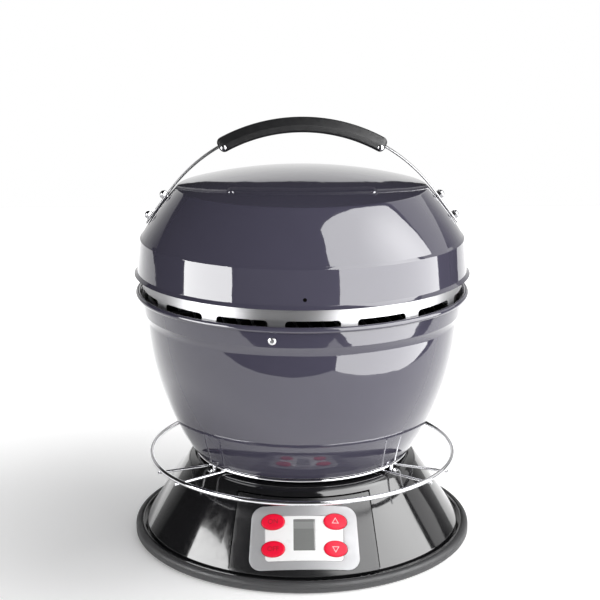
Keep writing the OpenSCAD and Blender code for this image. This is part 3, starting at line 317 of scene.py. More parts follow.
# %% [markdown]
# ### Metals
# Brushed steel has its grain along one way, so its noise is stretched across it. Wire and
# screws are chromed, nuts are dull nickel, and what the fire reaches is tinted or sooted.

# %% Metals
FINISH.update({
    "brushed_steel": finish("brushed_steel", (0.62, 0.62, 0.63), 0.3, drift=0.07, drift_scale=5, rough_spread=0.07,
                            rough_scale=4, stretch=(1, 1, 260), bumps=((5, 0.00003),), Metallic=1.0),
    "dark_steel": finish("dark_coated_steel", (0.035, 0.035, 0.037), 0.45, drift=0.2, rough_spread=0.1,
                         bumps=((900, 0.00002),), Metallic=0.6),
    "chrome_wire": finish("bright_chrome", (0.78, 0.78, 0.8), 0.1, drift=0.05, rough_spread=0.05,
                          bumps=((160, 0.00003),), Metallic=1.0),
    "nut_steel": finish("dull_nickel", (0.36, 0.36, 0.37), 0.24, rough_spread=0.06,
                        bumps=((300, 0.00002),), Metallic=1.0),
    "strap_steel": finish("satin_strap_steel", (0.42, 0.42, 0.43), 0.34, drift_scale=8, rough_spread=0.07,
                          rough_scale=6, stretch=(1, 260, 1), bumps=((5, 0.00002),), Metallic=1.0),
    "screw_steel": finish("satin_screw_steel", (0.72, 0.72, 0.73), 0.3, drift=0.05, rough_spread=0.05,
                          bumps=((300, 0.00002),), Metallic=1.0),
    "soot_steel": finish("sooted_steel", (0.018, 0.017, 0.015), 0.6, drift=0.3, drift_scale=30, rough_spread=0.1,
                         bumps=((140, 0.00004),), Metallic=0.3),
    "heat_steel": finish("heat_tinted_steel", (0.5, 0.46, 0.4), 0.34, drift=0.22, drift_scale=22, rough_spread=0.12,
                         rough_scale=50, bumps=((140, 0.00004),), Metallic=1.0),
    "ring_steel": finish("ring_brushed_steel", (0.5, 0.5, 0.51), 0.5, drift=0.07, drift_scale=5, rough_spread=0.06,
                         rough_scale=4, stretch=(1, 1, 260), bumps=((5, 0.00002),), Metallic=1.0,
                         **{"Anisotropic": 0.7, "Anisotropic Rotation": 0.25}),
})
print("finishes so far:", len(FINISH))

# %% [markdown]
# ### Control panel
# The frame is silver lacquer, the inlay white film, the display a grey cover over its glass,
# and the caps are soft red moulding with thin print.

# %% Control panel finishes
FINISH.update({
    "silver_trim": finish("silver_lacquer", (0.375, 0.375, 0.385), 0.45, drift=0.05, drift_scale=2500,
                          rough_spread=0.05, bumps=((2400, 0.000004),), Metallic=0.3,
                          **{"Coat Weight": 0.1, "Coat Roughness": 0.15}),
    "label_white": finish("white_inlay", (0.86, 0.86, 0.86), 0.3, drift=0.02, bumps=((900, 0.000004),)),
    "display_grey": finish("display_cover", (0.2, 0.205, 0.2), 0.12, drift=0.03, drift_scale=300,
                           **{"Coat Weight": 0.6, "Coat Roughness": 0.03}),
    "button_red": finish("red_button_cap", (0.82, 0.003, 0.035), 0.35, drift=0.05, drift_scale=200,
                         bumps=((1600, 0.000006),),
                         **{"Specular IOR Level": 0.25, "Coat Weight": 0.1, "Coat Roughness": 0.2}),
    "mark_dark": finish("dark_red_print", (0.36, 0.002, 0.012), 0.35, drift=0.1, drift_scale=600),
    "mark_pale": finish("pale_print", (0.88, 0.5, 0.52), 0.35, drift=0.05, drift_scale=600),
})
print("finishes:", ", ".join(FINISH))

# %% [markdown]
# ### Grain, strip and painted shade
# Three finishes change over their piece. The vent ring was brushed round its axis, so its
# highlight follows the ring, and painted shade darkens it to near black where the lid covers it.
# The display has a paler strip above its digits.

# %% Grain, strip and painted shade
STRIP_Z, STRIP_HALF = 0.0605, 0.0029
# painted shade: between these heights the vent ring turns near black, standing in for the shade under the lid's skirt
LID_SHADE_FROM, LID_SHADE_FULL = 0.303, 0.308


def shader_of(look):
    tree = FINISH[look].node_tree
    return tree, next(n for n in tree.nodes if n.type == "BSDF_PRINCIPLED")


def repaint(look, factor, colour):
    """Paints a colour over a finish where factor(tree, height) asks for it."""
    tree, shader = shader_of(look)
    height = add_node(tree, "ShaderNodeSeparateXYZ", {0: own_place(tree)}).outputs["Z"]
    shade = shader.inputs["Base Color"].links[0].from_socket
    tree.links.new(blend(tree, factor(tree, height), shade, colour), shader.inputs["Base Color"])


tree, shader = shader_of("ring_steel")
along = add_node(tree, "ShaderNodeVectorMath", {0: own_place(tree), 1: (0, 0, 1)}, operation="CROSS_PRODUCT")
tree.links.new(along.outputs[0], shader.inputs["Tangent"])
repaint("display_grey", lambda tree, z: calc(tree, "COMPARE", z, STRIP_Z, STRIP_HALF), (0.265, 0.27, 0.265, 1))
# painted shade: the ring's top, under the lid, is painted near black
repaint("ring_steel", lambda tree, z: remap(tree, z, LID_SHADE_FROM, LID_SHADE_FULL), (0.016, 0.014, 0.012, 1))
print("repainted: display_grey, ring_steel")


# %% [markdown]
# ## Turned shapes
# The lid, bowl, base cover, vent ring and bumper are all turned: one outline spun about the
# upright axis. The outline is written in millimetres, its corners are rounded as pressed
# sheet and moulded plastic are, and it is spun in half-degree steps so that gloss stays smooth.

# %% Outline helpers
def arc_points(centre, radius, start, stop, steps):
    angles = np.radians(np.linspace(start, stop, steps + 1))
    return [(centre[0] + radius * math.cos(a), centre[1] + radius * math.sin(a)) for a in angles]


def rounded(points, radii, steps=5):
    """The open outline with the corner at each given index rounded by its radius."""
    made = []
    for i, point in enumerate(points):
        radius = radii.get(i, 0)
        if radius == 0:
            made.append(tuple(point))
            continue
        p, a, b = (np.array(q, float) for q in (point, points[i - 1], points[i + 1]))
        u, v = (a - p) / np.linalg.norm(a - p), (b - p) / np.linalg.norm(b - p)
        half = math.acos(max(-1, min(1, float(u @ v)))) / 2
        reach = radius / math.tan(half)
        middle = p + (u + v) / np.linalg.norm(u + v) * radius / math.sin(half)
        first, last = p + u * reach - middle, p + v * reach - middle
        turn = math.atan2(first[0] * last[1] - first[1] * last[0], float(first @ last))
        for k in range(steps + 1):
            c, s = math.cos(turn * k / steps), math.sin(turn * k / steps)
            made.append(tuple(middle + np.array((first[0] * c - first[1] * s, first[0] * s + first[1] * c))))
    return made


def box_line(width, low, high, top=None):
    """A box or taper that starts and ends in the middle of its low side, so that all its corners can be rounded."""
    w, t = width / 2, (top or width) / 2
    return [(0, low), (w, low), (t, high), (-t, high), (-w, low), (0, low)]


def all_four(radius):
    return dict.fromkeys((1, 2, 3, 4), radius)


print("outline helpers ready")

# %% [markdown]
# ### Spinning an outline and handing over a piece
# A turned mesh is welded where the outline meets the axis. Every finished piece is then
# dressed in the same way: smooth shading with sharp edges kept, a finish, the body that
# carries it and the solids that it stands for.

# %% Spinning an outline and handing over a piece
def turned(name, outline, columns=720):
    """Closed outline of (radius, height) in mm, spun about Z into a closed mesh with outward faces."""
    ring = np.array(outline, float) * MM
    x, y = ring[:, 0], ring[:, 1]
    if np.sum(x * np.roll(y, -1) - np.roll(x, -1) * y) < 0:
        ring = ring[::-1]
    n = len(ring)
    points, faces = [], []
    for j in range(columns):
        a = 2 * math.pi * (j + 0.5) / columns
        points += [(r * math.cos(a), r * math.sin(a), z) for r, z in ring]
    for j in range(columns):
        k = (j + 1) % columns
        for i in range(n):
            m = (i + 1) % n
            faces.append((j * n + i, k * n + i, k * n + m, j * n + m))
    made = plain_mesh(name, points, faces)
    weld(made.data)
    return made


def weld(mesh):
    bm = bmesh.new()
    bm.from_mesh(mesh)
    bmesh.ops.remove_doubles(bm, verts=bm.verts, dist=1e-7)
    bmesh.ops.dissolve_degenerate(bm, edges=bm.edges, dist=1e-8)
    bm.to_mesh(mesh)
    bm.free()
    mesh.update()


SHARP = math.radians(35)


def dress(piece, body, slot, *replaced, look=None):
    """Gives a finished piece its shading, finish and body, and hides what it stands for."""
    mesh = piece.data
    mesh.shade_smooth()
    mesh.set_sharp_from_angle(angle=SHARP)
    mesh.materials.clear()
    mesh.materials.append(FINISH[look or slot])
    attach(piece, body)
    if replaced:
        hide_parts(*replaced)
    print(f"{piece.name}: {len(mesh.polygons)} faces on {body}")


print("pieces can be turned and dressed")

# %% [markdown]
# ## Geometry trees
# Four trees make what repeats: holes cut round an axis, fasteners set on points, wire drawn
# along a path, and the bars of the grate. Each ends as one plain mesh with its finish.

# %% Tree helpers
def new_tree(name, *sockets):
    tree = bpy.data.node_groups.new(name, "GeometryNodeTree")
    tree.interface.new_socket("Geometry", in_out="INPUT", socket_type="NodeSocketGeometry")
    for label, kind in sockets:
        tree.interface.new_socket(label, in_out="INPUT", socket_type="NodeSocket" + kind)
    tree.interface.new_socket("Geometry", in_out="OUTPUT", socket_type="NodeSocketGeometry")
    return tree, tree.nodes.new("NodeGroupInput").outputs, tree.nodes.new("NodeGroupOutput")


def geo(tree, kind, inputs=None, output=0, **settings):
    """One output of a geometry node."""
    return add_node(tree, "GeometryNode" + kind, inputs, **settings).outputs[output]


def vector(tree, **parts):
    return add_node(tree, "ShaderNodeCombineXYZ", parts).outputs[0]


def close_tree(tree, shape, source, out):
    whole = geo(tree, "RealizeInstances", {"Geometry": shape})
    tree.links.new(geo(tree, "SetMaterial", {"Geometry": whole, "Material": source["Finish"]}), out.inputs[0])


def run_tree(name, start, tree, look, **values):
    """Runs a tree on a starting object and returns the result as a plain mesh object."""
    modifier = start.modifiers.new("tree", "NODES")
    modifier.node_group = tree
    sockets = {s.name: s.identifier for s in tree.interface.items_tree if s.in_out == "INPUT"}
    modifier[sockets["Finish"]] = FINISH[look]
    for label, value in values.items():
        modifier[sockets[label.replace("_", " ")]] = value
    bpy.context.view_layer.update()
    graph = bpy.context.evaluated_depsgraph_get()
    mesh = bpy.data.meshes.new_from_object(start.evaluated_get(graph), depsgraph=graph)
    start.modifiers.remove(modifier)
    for used in [start] + [v for v in values.values() if isinstance(v, bpy.types.Object)]:
        bpy.data.objects.remove(used)
    mesh.name = name
    return linked(name, mesh)


print("tree helpers ready")

# %% [markdown]
# ### Cutters round the axis
# Slots and holes are stamped into the real sheet one after another round its axis. Here one
# cutter is copied a number of times, turned in even steps from a first turn, and taken away.

# %% Tree: cutters repeated round the upright axis
cut_tree, source, out = new_tree(
    "cut round axis", ("Cutter", "Object"), ("Count", "Int"), ("First Turn", "Float"), ("Finish", "Material"))
spots = geo(cut_tree, "Points", {"Count": source["Count"]})
step = calc(cut_tree, "DIVIDE", 2 * math.pi, source["Count"])
angle = calc(cut_tree, "MULTIPLY_ADD", geo(cut_tree, "InputIndex"), step, source["First Turn"])
turn = add_node(cut_tree, "FunctionNodeEulerToRotation", {0: vector(cut_tree, Z=angle)}).outputs[0]
cutter = geo(cut_tree, "ObjectInfo", {"Object": source["Cutter"]}, "Geometry")
copies = geo(cut_tree, "InstanceOnPoints", {"Points": spots, "Instance": cutter, "Rotation": turn})
cutters = geo(cut_tree, "RealizeInstances", {"Geometry": copies})
left = geo(cut_tree, "MeshBoolean", {"Mesh 1": source["Geometry"], "Mesh 2": cutters}, "Mesh",
           operation="DIFFERENCE", solver="EXACT")
close_tree(cut_tree, left, source, out)
print("tree:", cut_tree.name)

# %% [markdown]
# ### Parts on points
# A screw is the same wherever it is driven. One part is set on each point and turned so that
# it lies along the axis that the point carries.

# %% Tree: one part set on points, along each point's own axis
set_tree, source, out = new_tree("set on points", ("Part", "Object"), ("Finish", "Material"))
axis = geo(set_tree, "InputNamedAttribute", {"Name": "axis"}, data_type="FLOAT_VECTOR")
turn = add_node(set_tree, "FunctionNodeAlignRotationToVector", {"Vector": axis}, axis="Z").outputs[0]
part = geo(set_tree, "ObjectInfo", {"Object": source["Part"]}, "Geometry")
copies = geo(set_tree, "InstanceOnPoints", {"Points": source["Geometry"], "Instance": part, "Rotation": turn})
close_tree(set_tree, copies, source, out)
print("tree:", set_tree.name)

# %% [markdown]
# ### A section along a path
# Wire and strap are one section all along. The path's edges become a curve that is kept
# level, and the section is drawn along it and closed at its ends.

# %% Tree: a section drawn along the edges of a path
sweep_tree, source, out = new_tree("section along path", ("Section", "Object"), ("Finish", "Material"))
line = geo(sweep_tree, "MeshToCurve", {"Mesh": source["Geometry"]})
level = geo(sweep_tree, "SetCurveNormal", {"Curve": line}, mode="Z_UP")
section = geo(sweep_tree, "ObjectInfo", {"Object": source["Section"]}, "Geometry")
loop = geo(sweep_tree, "MeshToCurve", {"Mesh": section})
drawn = geo(sweep_tree, "CurveToMesh", {"Curve": level, "Profile Curve": loop, "Fill Caps": True})
close_tree(sweep_tree, drawn, source, out)
print("tree:", sweep_tree.name)

# %% [markdown]
# ### Grate bars
# The bars lie in a row inside the hoop. Half of each bar is the root of the hoop's radius
# squared less the bar's own place squared, so all the ends reach the hoop.

# %% Tree: grate bars whose length follows the hoop
grate_tree, source, out = new_tree(
    "grate bars", ("Bars", "Int"), ("Pitch", "Float"), ("Hoop Radius", "Float"), ("Bar Radius", "Float"),
    ("Height", "Float"), ("Turn", "Float"), ("Finish", "Material"))
span = calc(grate_tree, "MULTIPLY", calc(grate_tree, "SUBTRACT", source["Bars"], 1.0), source["Pitch"])
start = vector(grate_tree, X=calc(grate_tree, "MULTIPLY", span, -0.5), Z=source["Height"])
pitch = vector(grate_tree, X=source["Pitch"])
row = geo(grate_tree, "MeshLine", {"Count": source["Bars"], "Start Location": start, "Offset": pitch}, mode="OFFSET")
x = add_node(grate_tree, "ShaderNodeSeparateXYZ", {0: geo(grate_tree, "InputPosition")}).outputs["X"]
whole = calc(grate_tree, "MULTIPLY", source["Hoop Radius"], source["Hoop Radius"])
half = calc(grate_tree, "SQRT", calc(grate_tree, "SUBTRACT", whole, calc(grate_tree, "MULTIPLY", x, x)))
scale = vector(grate_tree, X=1.0, Y=half, Z=1.0)
rod = geo(grate_tree, "CurvePrimitiveLine", {"Start": (0, -1, 0), "End": (0, 1, 0)})
bars = geo(grate_tree, "InstanceOnPoints", {"Points": row, "Instance": rod, "Scale": scale})
lines = geo(grate_tree, "RealizeInstances", {"Geometry": bars})
section = geo(grate_tree, "CurvePrimitiveCircle", {"Resolution": 16, "Radius": source["Bar Radius"]})
drawn = geo(grate_tree, "CurveToMesh", {"Curve": lines, "Profile Curve": section, "Fill Caps": True})
joined = add_node(grate_tree, "GeometryNodeJoinGeometry")
for shape in (drawn, source["Geometry"]):
    grate_tree.links.new(shape, joined.inputs[0])
turn = vector(grate_tree, Z=source["Turn"])
close_tree(grate_tree, geo(grate_tree, "Transform", {"Geometry": joined.outputs[0], "Rotation": turn}), source, out)
print("trees:", [t.name for t in bpy.data.node_groups])


# %% [markdown]
# ### Cutters, paths and points
# These make what the trees start from: prisms as cutters, edges as paths, and points that
# carry an axis. They take millimetres.

# %% Cutter and path helpers
def facing_out(made):
    bm = bmesh.new()
    bm.from_mesh(made.data)
    bmesh.ops.recalc_face_normals(bm, faces=bm.faces)
    bm.to_mesh(made.data)
    bm.free()
    return made


def prism(name, loop, low, high, place):
    """Closed prism over a flat loop of (u, v); place(u, v, w) gives each corner in mm."""
    n = len(loop)
    points = [np.array(place(u, v, w)) * MM for w in (low, high) for u, v in loop]
    faces = [tuple(range(n))[::-1], tuple(range(n, 2 * n))]
    faces += [(i, (i + 1) % n, n + (i + 1) % n, n + i) for i in range(n)]
    return facing_out(plain_mesh(name, points, faces))


def front_cut(name, loop, near, far):
    """Prism along Y over a loop of (x, z), as seen from the front."""
    return prism(name, loop, near, far, lambda u, v, w: (u, w, v))


def cut_out(piece, cutter, look, count=1, first_turn=0.0):
    """The piece less a cutter, which is taken out once or in even steps round the upright axis."""
    return run_tree(piece.name, piece, cut_tree, look, Cutter=cutter, Count=count, First_Turn=first_turn)


def circle_loop(x, y, radius, count=48):
    return [(x + radius * math.cos(a), y + radius * math.sin(a))
            for a in np.linspace(0, 2 * math.pi, count, endpoint=False)]


def polar(radius, azimuth, z):
    """Point in mm at an azimuth from the front towards the right."""
    a = math.radians(azimuth)
    return (radius * math.sin(a), -radius * math.cos(a), z)


def path_object(name, lines, cyclic=False):
    """Edges through each line of points, in mm."""
    points, edges = [], []
    for line in lines:
        base = len(points)
        points += [tuple(np.array(p, float) * MM) for p in line]
        edges += [(base + i, base + i + 1) for i in range(len(line) - 1)]
        if cyclic:
            edges.append((base + len(line) - 1, base))
    mesh = bpy.data.meshes.new(name)
    mesh.from_pydata(points, edges, [])
    return linked(name, mesh)


def points_object(name, places):
    """Points in mm, each with the axis that its fastener points along."""
    made = path_object(name, [[p] for p, _ in places])
    axes = made.data.attributes.new("axis", "FLOAT_VECTOR", "POINT")
    axes.data.foreach_set("vector", np.array([a for _, a in places], float).ravel())
    return made


print("cutter and path helpers ready")

# %% [markdown]
# ## Lid
# The lid is pressed sheet under glassy enamel: a flared edge, a band, a narrow ledge, a
# swelling flank and a shallow crown. The small vent hole in the front of the band is cut
# right through.

# %% Lid
LID_T = 0.9
LID_EDGE = (184.0, 300.951)
LID_CREASE = (180.6, 304.351)
LEDGE_LOW = (177.2, 339.951)
FLANK_C, FLANK_R = (-116.428, 167.258), 340.0
FLANK_A = (31.0355, 41.6302)
EDGE_C, EDGE_R = (133.967, 389.805), 5.0
CROWN_C, CROWN_R, CROWN_A = (0.0, -115.829), 528.08, 75.1606
LID_HOLE_R, LID_HOLE_RISE, LID_HOLE_Y = 2.0, 6.2, (-190, -150)
LEDGE_OUT = (0.749, 0.6626)
CREASE_ROUND, LEDGE_ROUNDS = 0.7, (1.2, 1.6)


def lid_line(inset):
    ledge = np.array(LEDGE_OUT) * inset
    low = (LEDGE_LOW[0] - ledge[0], LEDGE_LOW[1] - ledge[1])
    flank = arc_points(FLANK_C, FLANK_R - inset, *FLANK_A, 40)
    edge = arc_points(EDGE_C, EDGE_R - inset, FLANK_A[1], CROWN_A, 10)
    crown = arc_points(CROWN_C, CROWN_R - inset, CROWN_A, 90, 40)
    skirt = [(LID_EDGE[0] - inset, LID_EDGE[1]), (LID_CREASE[0] - inset, LID_CREASE[1]), low, flank[0], flank[2]]
    skirt = rounded(skirt, {1: CREASE_ROUND, 2: LEDGE_ROUNDS[0], 3: LEDGE_ROUNDS[1]})
    return skirt[:-1] + flank[2:] + edge[1:] + crown[1:]


lid = turned("lid_skin", lid_line(0) + lid_line(LID_T)[::-1])
drill = front_cut("lid_hole", circle_loop(0, LID_CREASE[1] + LID_HOLE_RISE, LID_HOLE_R, 32), *LID_HOLE_Y)
dress(cut_out(lid, drill, "enamel"), "lid", "enamel", "lid_shell")

# %% [markdown]
# ## Bowl
# The bowl is deeper, with a swelling belly, a small step at the neck and a flared collar
# that ends in a rolled bead.

# %% Bowl
BOWL_T = 1.2
BOWL_Z = 99.151
BELLY_C, BELLY_R = (-121.821, 262.38), 293.0
NECK = (171.0, 252.151)
COLLAR_FOOT = (175.0, 259.151)
COLLAR_TILT = math.atan(2.7 / 20.4)
BEAD_C, BEAD_R = (180.1, 279.551), 3.0
AIR_HOLE_R, FOOT_ROUND, COLLAR_ROUND = 38, 9, 4.0


def belly(inset, rounding, floor):
    c_z = floor + rounding
    c_r = BELLY_C[0] + math.sqrt((BELLY_R - inset - rounding) ** 2 - (c_z - BELLY_C[1]) ** 2)
    a = math.degrees(math.atan2(c_z - BELLY_C[1], c_r - BELLY_C[0]))
    top = math.degrees(math.asin((NECK[1] - BELLY_C[1]) / (BELLY_R - inset)))
    return arc_points((c_r, c_z), rounding, -90, a, 10) + arc_points(BELLY_C, BELLY_R - inset, a, top, 48)[1:]


outer = belly(0, FOOT_ROUND, BOWL_Z)
inner = belly(BOWL_T, FOOT_ROUND - BOWL_T, BOWL_Z + BOWL_T)
bead = arc_points(BEAD_C, BEAD_R, 210, 485, 40)
step_in = BOWL_T / math.cos(COLLAR_TILT)
wall_top = COLLAR_FOOT[0] + math.tan(COLLAR_TILT) * (BEAD_C[1] - COLLAR_FOOT[1]) - step_in
outer_rim = rounded(outer[-2:] + [COLLAR_FOOT, bead[0]], {2: COLLAR_ROUND}, 8)
inner_rim = [(wall_top + 0.2, BEAD_C[1] + 0.9), (wall_top, BEAD_C[1]), (COLLAR_FOOT[0] - step_in, COLLAR_FOOT[1])]
bowl = turned("bowl_skin", [(AIR_HOLE_R, BOWL_Z)] + outer[:-2] + outer_rim[:-1] + bead + inner_rim
              + inner[::-1] + [(AIR_HOLE_R, BOWL_Z + BOWL_T)])
dress(bowl, "bowl", "enamel", "fire_bowl")

# %% [markdown]
# ## Vent ring
# A band of brushed steel stands in the bowl's rim and lets air in through fifteen slots.
# One slot outline is drawn flat, and a tree repeats it round the ring as a cutter.

# %% Vent ring
RING_R, RING_T = 175.5, 0.8
RING_FOOT, RING_KINK, RING_TOP = (173.954, 261.151), 272.837, 340.214
SLOT_Z, SLOT_W, SLOT_H, SLOT_ROUND = 272.551, 55.8, 15.0, 4.0
SLOTS, SLOT_AZ, SLOT_FOOT_ROUND, SLOT_Y = 15, 2.75, 0.6, (-182, -165)
ring_low = RING_T / math.cos(COLLAR_TILT)
band = [RING_FOOT, (RING_R, RING_KINK), (RING_R, RING_TOP), (RING_R - RING_T, RING_TOP),
        (RING_R - RING_T, RING_KINK), (RING_FOOT[0] - ring_low, RING_FOOT[1])]
vent = turned("vent_band", band)
slot_rounds = {1: SLOT_FOOT_ROUND, 2: SLOT_ROUND, 3: SLOT_ROUND, 4: SLOT_FOOT_ROUND}
slot = rounded(box_line(SLOT_W, SLOT_Z, SLOT_Z + SLOT_H), slot_rounds, 6)[:-1]
vent = cut_out(vent, front_cut("slot", slot, *SLOT_Y), "brushed_steel", SLOTS, math.radians(SLOT_AZ))
dress(vent, "bowl", "brushed_steel", "vent_ring", look="ring_steel")

# %% [markdown]
# ### Grate tabs
# Six tabs are bent in from the ring's lower edge, and the grate rests on them. Each is a flat
# tongue with round corners, so it is written straight as points and faces.

# %% Tabs that carry the grate
TAB_Z, TAB_W, TAB_L, TAB_T, TAB_ROUND = 271.551, 12.0, 8.0, 1.5, 3
TABS, TAB_AZ = 6, 14.75
tab_points, tab_faces = [], []
for azimuth in np.arange(TABS) * 360 / TABS + TAB_AZ:
    a = math.radians(azimuth)
    out_x, out_y = math.sin(a), -math.cos(a)
    tab = rounded(box_line(TAB_W, 0, TAB_L), {2: TAB_ROUND, 3: TAB_ROUND})[1:-1]
    first, n = len(tab_points), len(tab)
    for z in (TAB_Z - TAB_T, TAB_Z):
        for u, v in tab:
            r = RING_R - RING_T / 2 - v
            tab_points.append(Vector((r * out_x - u * out_y, r * out_y + u * out_x, z)) * MM)
    low, high = range(first, first + n), range(first + n, first + 2 * n)
    tab_faces += [tuple(low), tuple(high)[::-1]]
    tab_faces += [(first + i, first + n + i, first + n + (i + 1) % n, first + (i + 1) % n) for i in range(n)]
dress(plain_mesh("grate_tabs", tab_points, tab_faces), "bowl", "brushed_steel")

# %% [markdown]
# ## Base cover
# The gloss black cover is a wide cone with a flat deck. The opening for the console and the
# hole for the socket are cut through it.

# %% Base cover
SHELL_T = 3.0
SKIRT_R, SKIRT_LOW, SKIRT_TOP = 177.1, 6.05, 14.6
SHOULDER = (125.0, 92.5)
DECK_HOLE_R, SHOULDER_ROUND, SKIRT_ROUND, INSIDE_ROUND = 36.8, 15, 1.5, 4
CONSOLE_Z, CONSOLE_HALF = (16.0, 84.0), (79.5, 70.0)
SEAM = 0.3
INLET_Y, INLET_Z, INLET_R = 171.6, 30.0, 9.4
OPENING_Y, INLET_CUT_Y = (-200, -60), (120, 190)
cover = rounded([(SKIRT_R, SKIRT_LOW), (SKIRT_R, SKIRT_TOP), SHOULDER, (DECK_HOLE_R, SHOULDER[1])],
                {1: SKIRT_ROUND, 2: SHOULDER_ROUND}, 14)
slope = (SHOULDER[1] - SKIRT_TOP) / (SKIRT_R - SHOULDER[0])
inset_r = SHELL_T * math.hypot(1, 1 / slope)
inside_top = SHOULDER[1] - SHELL_T
inside = [(DECK_HOLE_R, inside_top), (SHOULDER[0] - inset_r + SHELL_T / slope, inside_top),
          (SKIRT_R - SHELL_T, SKIRT_TOP - (inset_r - SHELL_T) * slope), (SKIRT_R - SHELL_T, SKIRT_LOW)]
cover = turned("base_cover", cover + rounded(inside, {1: INSIDE_ROUND}))
opening = [(-CONSOLE_HALF[0] - SEAM, CONSOLE_Z[0] - SEAM), (CONSOLE_HALF[0] + SEAM, CONSOLE_Z[0] - SEAM),
           (CONSOLE_HALF[1] + SEAM, CONSOLE_Z[1] + SEAM), (-CONSOLE_HALF[1] - SEAM, CONSOLE_Z[1] + SEAM)]
cover = cut_out(cover, front_cut("opening", opening, *OPENING_Y), "gloss_black")
cover = cut_out(cover, front_cut("socket_hole", circle_loop(0, INLET_Z, INLET_R, 64), *INLET_CUT_Y), "gloss_black")
dress(cover, "base", "gloss_black", "base_shell")

# %% [markdown]
# ### Socket boss
# A short tube at the rear of the cover carries the socket. It is turned upright and then laid
# along Y.

# %% Socket boss
BOSS_R, BOSS_BORE, BOSS_L, BOSS_ROUND = 10.0, 5.6, 24.0, 1.2
boss = [(BOSS_BORE, 0), (BOSS_R, 0), (BOSS_R, -BOSS_L), (BOSS_BORE, -BOSS_L), (BOSS_BORE, 0)]
boss = turned("socket_boss", rounded(boss, {1: BOSS_ROUND})[:-1], 96)
for v in boss.data.vertices:
    x, y, z = v.co
    v.co = (x, INLET_Y * MM + z, INLET_Z * MM - y)
dress(boss, "base", "gloss_black")

# %% [markdown]
# ## Rubber bumper
# A soft grey ring wraps the foot. It has a shallow groove where it meets the tray lip and a
# fine parting line at its widest.

# %% Rubber bumper
BUMPER_R, BUMPER_IN, BUMPER_LOW, BUMPER_TOP = 190.0, 182.7, 1.4, 13.0
BUMPER_ROUND, BUMPER_BEVEL, LIP_IN, LIP_Z = 4.6, 2, 6.1, 2.95
PARTING = ((0, 7.0), (0.25, 7.2), (0, 7.4))
GROOVE = ((1.5, 0), (1.1, 0.9), (0.5, 0.9), (0, 0.3))
bumper = [(BUMPER_IN, BUMPER_LOW), (BUMPER_R - BUMPER_BEVEL, BUMPER_LOW), (BUMPER_R, BUMPER_LOW + BUMPER_BEVEL)]
bumper += [(BUMPER_R - deep, z) for deep, z in PARTING]
bumper += arc_points((BUMPER_R - BUMPER_ROUND, BUMPER_TOP - BUMPER_ROUND), BUMPER_ROUND, 0, 90, 12)
bumper += [(BUMPER_IN + out, BUMPER_TOP - deep) for out, deep in GROOVE]
bumper += [(BUMPER_IN, LIP_Z), (BUMPER_IN - LIP_IN, LIP_Z), (BUMPER_IN - LIP_IN, BUMPER_LOW)]
dress(turned("bumper", bumper), "base", "rubber_grey", "bumper_ring")


# %% [markdown]
# ## Control panel
# The console face is part of a cone, and everything on it follows that curve. Flat outlines
# are drawn on a plane that touches the cone at the panel's middle, filled with small
# triangles and then laid on the cone at their own height, with rounded edges.

# %% Laying flat outlines on the console cone
PANEL_TILT = math.radians(53.2621)
PANEL_R, PANEL_Z = 158.174, 48.0558
COS, SIN = math.cos(PANEL_TILT), math.sin(PANEL_TILT)


def on_panel(u, v, height):
    """Points in mm at a height over the console cone, above the panel plane's (u, v)."""
    u, v = np.asarray(u, float), np.asarray(v, float)
    w = np.zeros_like(u)
    for _ in range(6):
        y, z = -PANEL_R + v * COS - w * SIN, PANEL_Z + v * SIN + w * COS
        r = np.hypot(u, y)
        gap = (r - SHOULDER[0]) * SIN + (z - SHOULDER[1]) * COS - height
        w = w - gap / (-y / r * SIN * SIN + COS * COS)
    y, z = -PANEL_R + v * COS - w * SIN, PANEL_Z + v * SIN + w * COS
    return np.stack((u, y, z), axis=-1)


def resampled(loop, gap):
    """The closed loop with a point about every gap, keeping its corners."""
    made = []
    for a, b in zip(loop, loop[1:] + loop[:1]):
        count = max(1, round(math.dist(a, b) / gap))
        made += [(a[0] + (b[0] - a[0]) * k / count, a[1] + (b[1] - a[1]) * k / count) for k in range(count)]
    return np.array(made)


def moved_in(loop, amount):
    """The loop moved towards its left by an amount: into a loop that turns left, out of one that turns right."""
    way = np.roll(loop, -1, 0) - np.roll(loop, 1, 0)
    way /= np.linalg.norm(way, axis=1)[:, None]
    return loop + np.stack((-way[:, 1], way[:, 0]), 1) * amount


def inside_loop(loop, x, y):
    a, b = loop, np.roll(loop, -1, 0)
    cross = (b[:, 0] - a[:, 0]) * (y - a[:, 1]) / (b[:, 1] - a[:, 1] + 1e-12) + a[:, 0]
    hit = ((a[:, 1] > y) != (b[:, 1] > y)) & (x < cross)
    return bool(hit.sum() % 2)


print("panel at", PANEL_R, PANEL_Z)

# %% [markdown]
# ### Filling an outline
# Gloss shows every long triangle, so an outline is filled with points on a grid and joined to
# its rim by a triangulation that keeps the rim's edges. Triangles in holes are dropped.

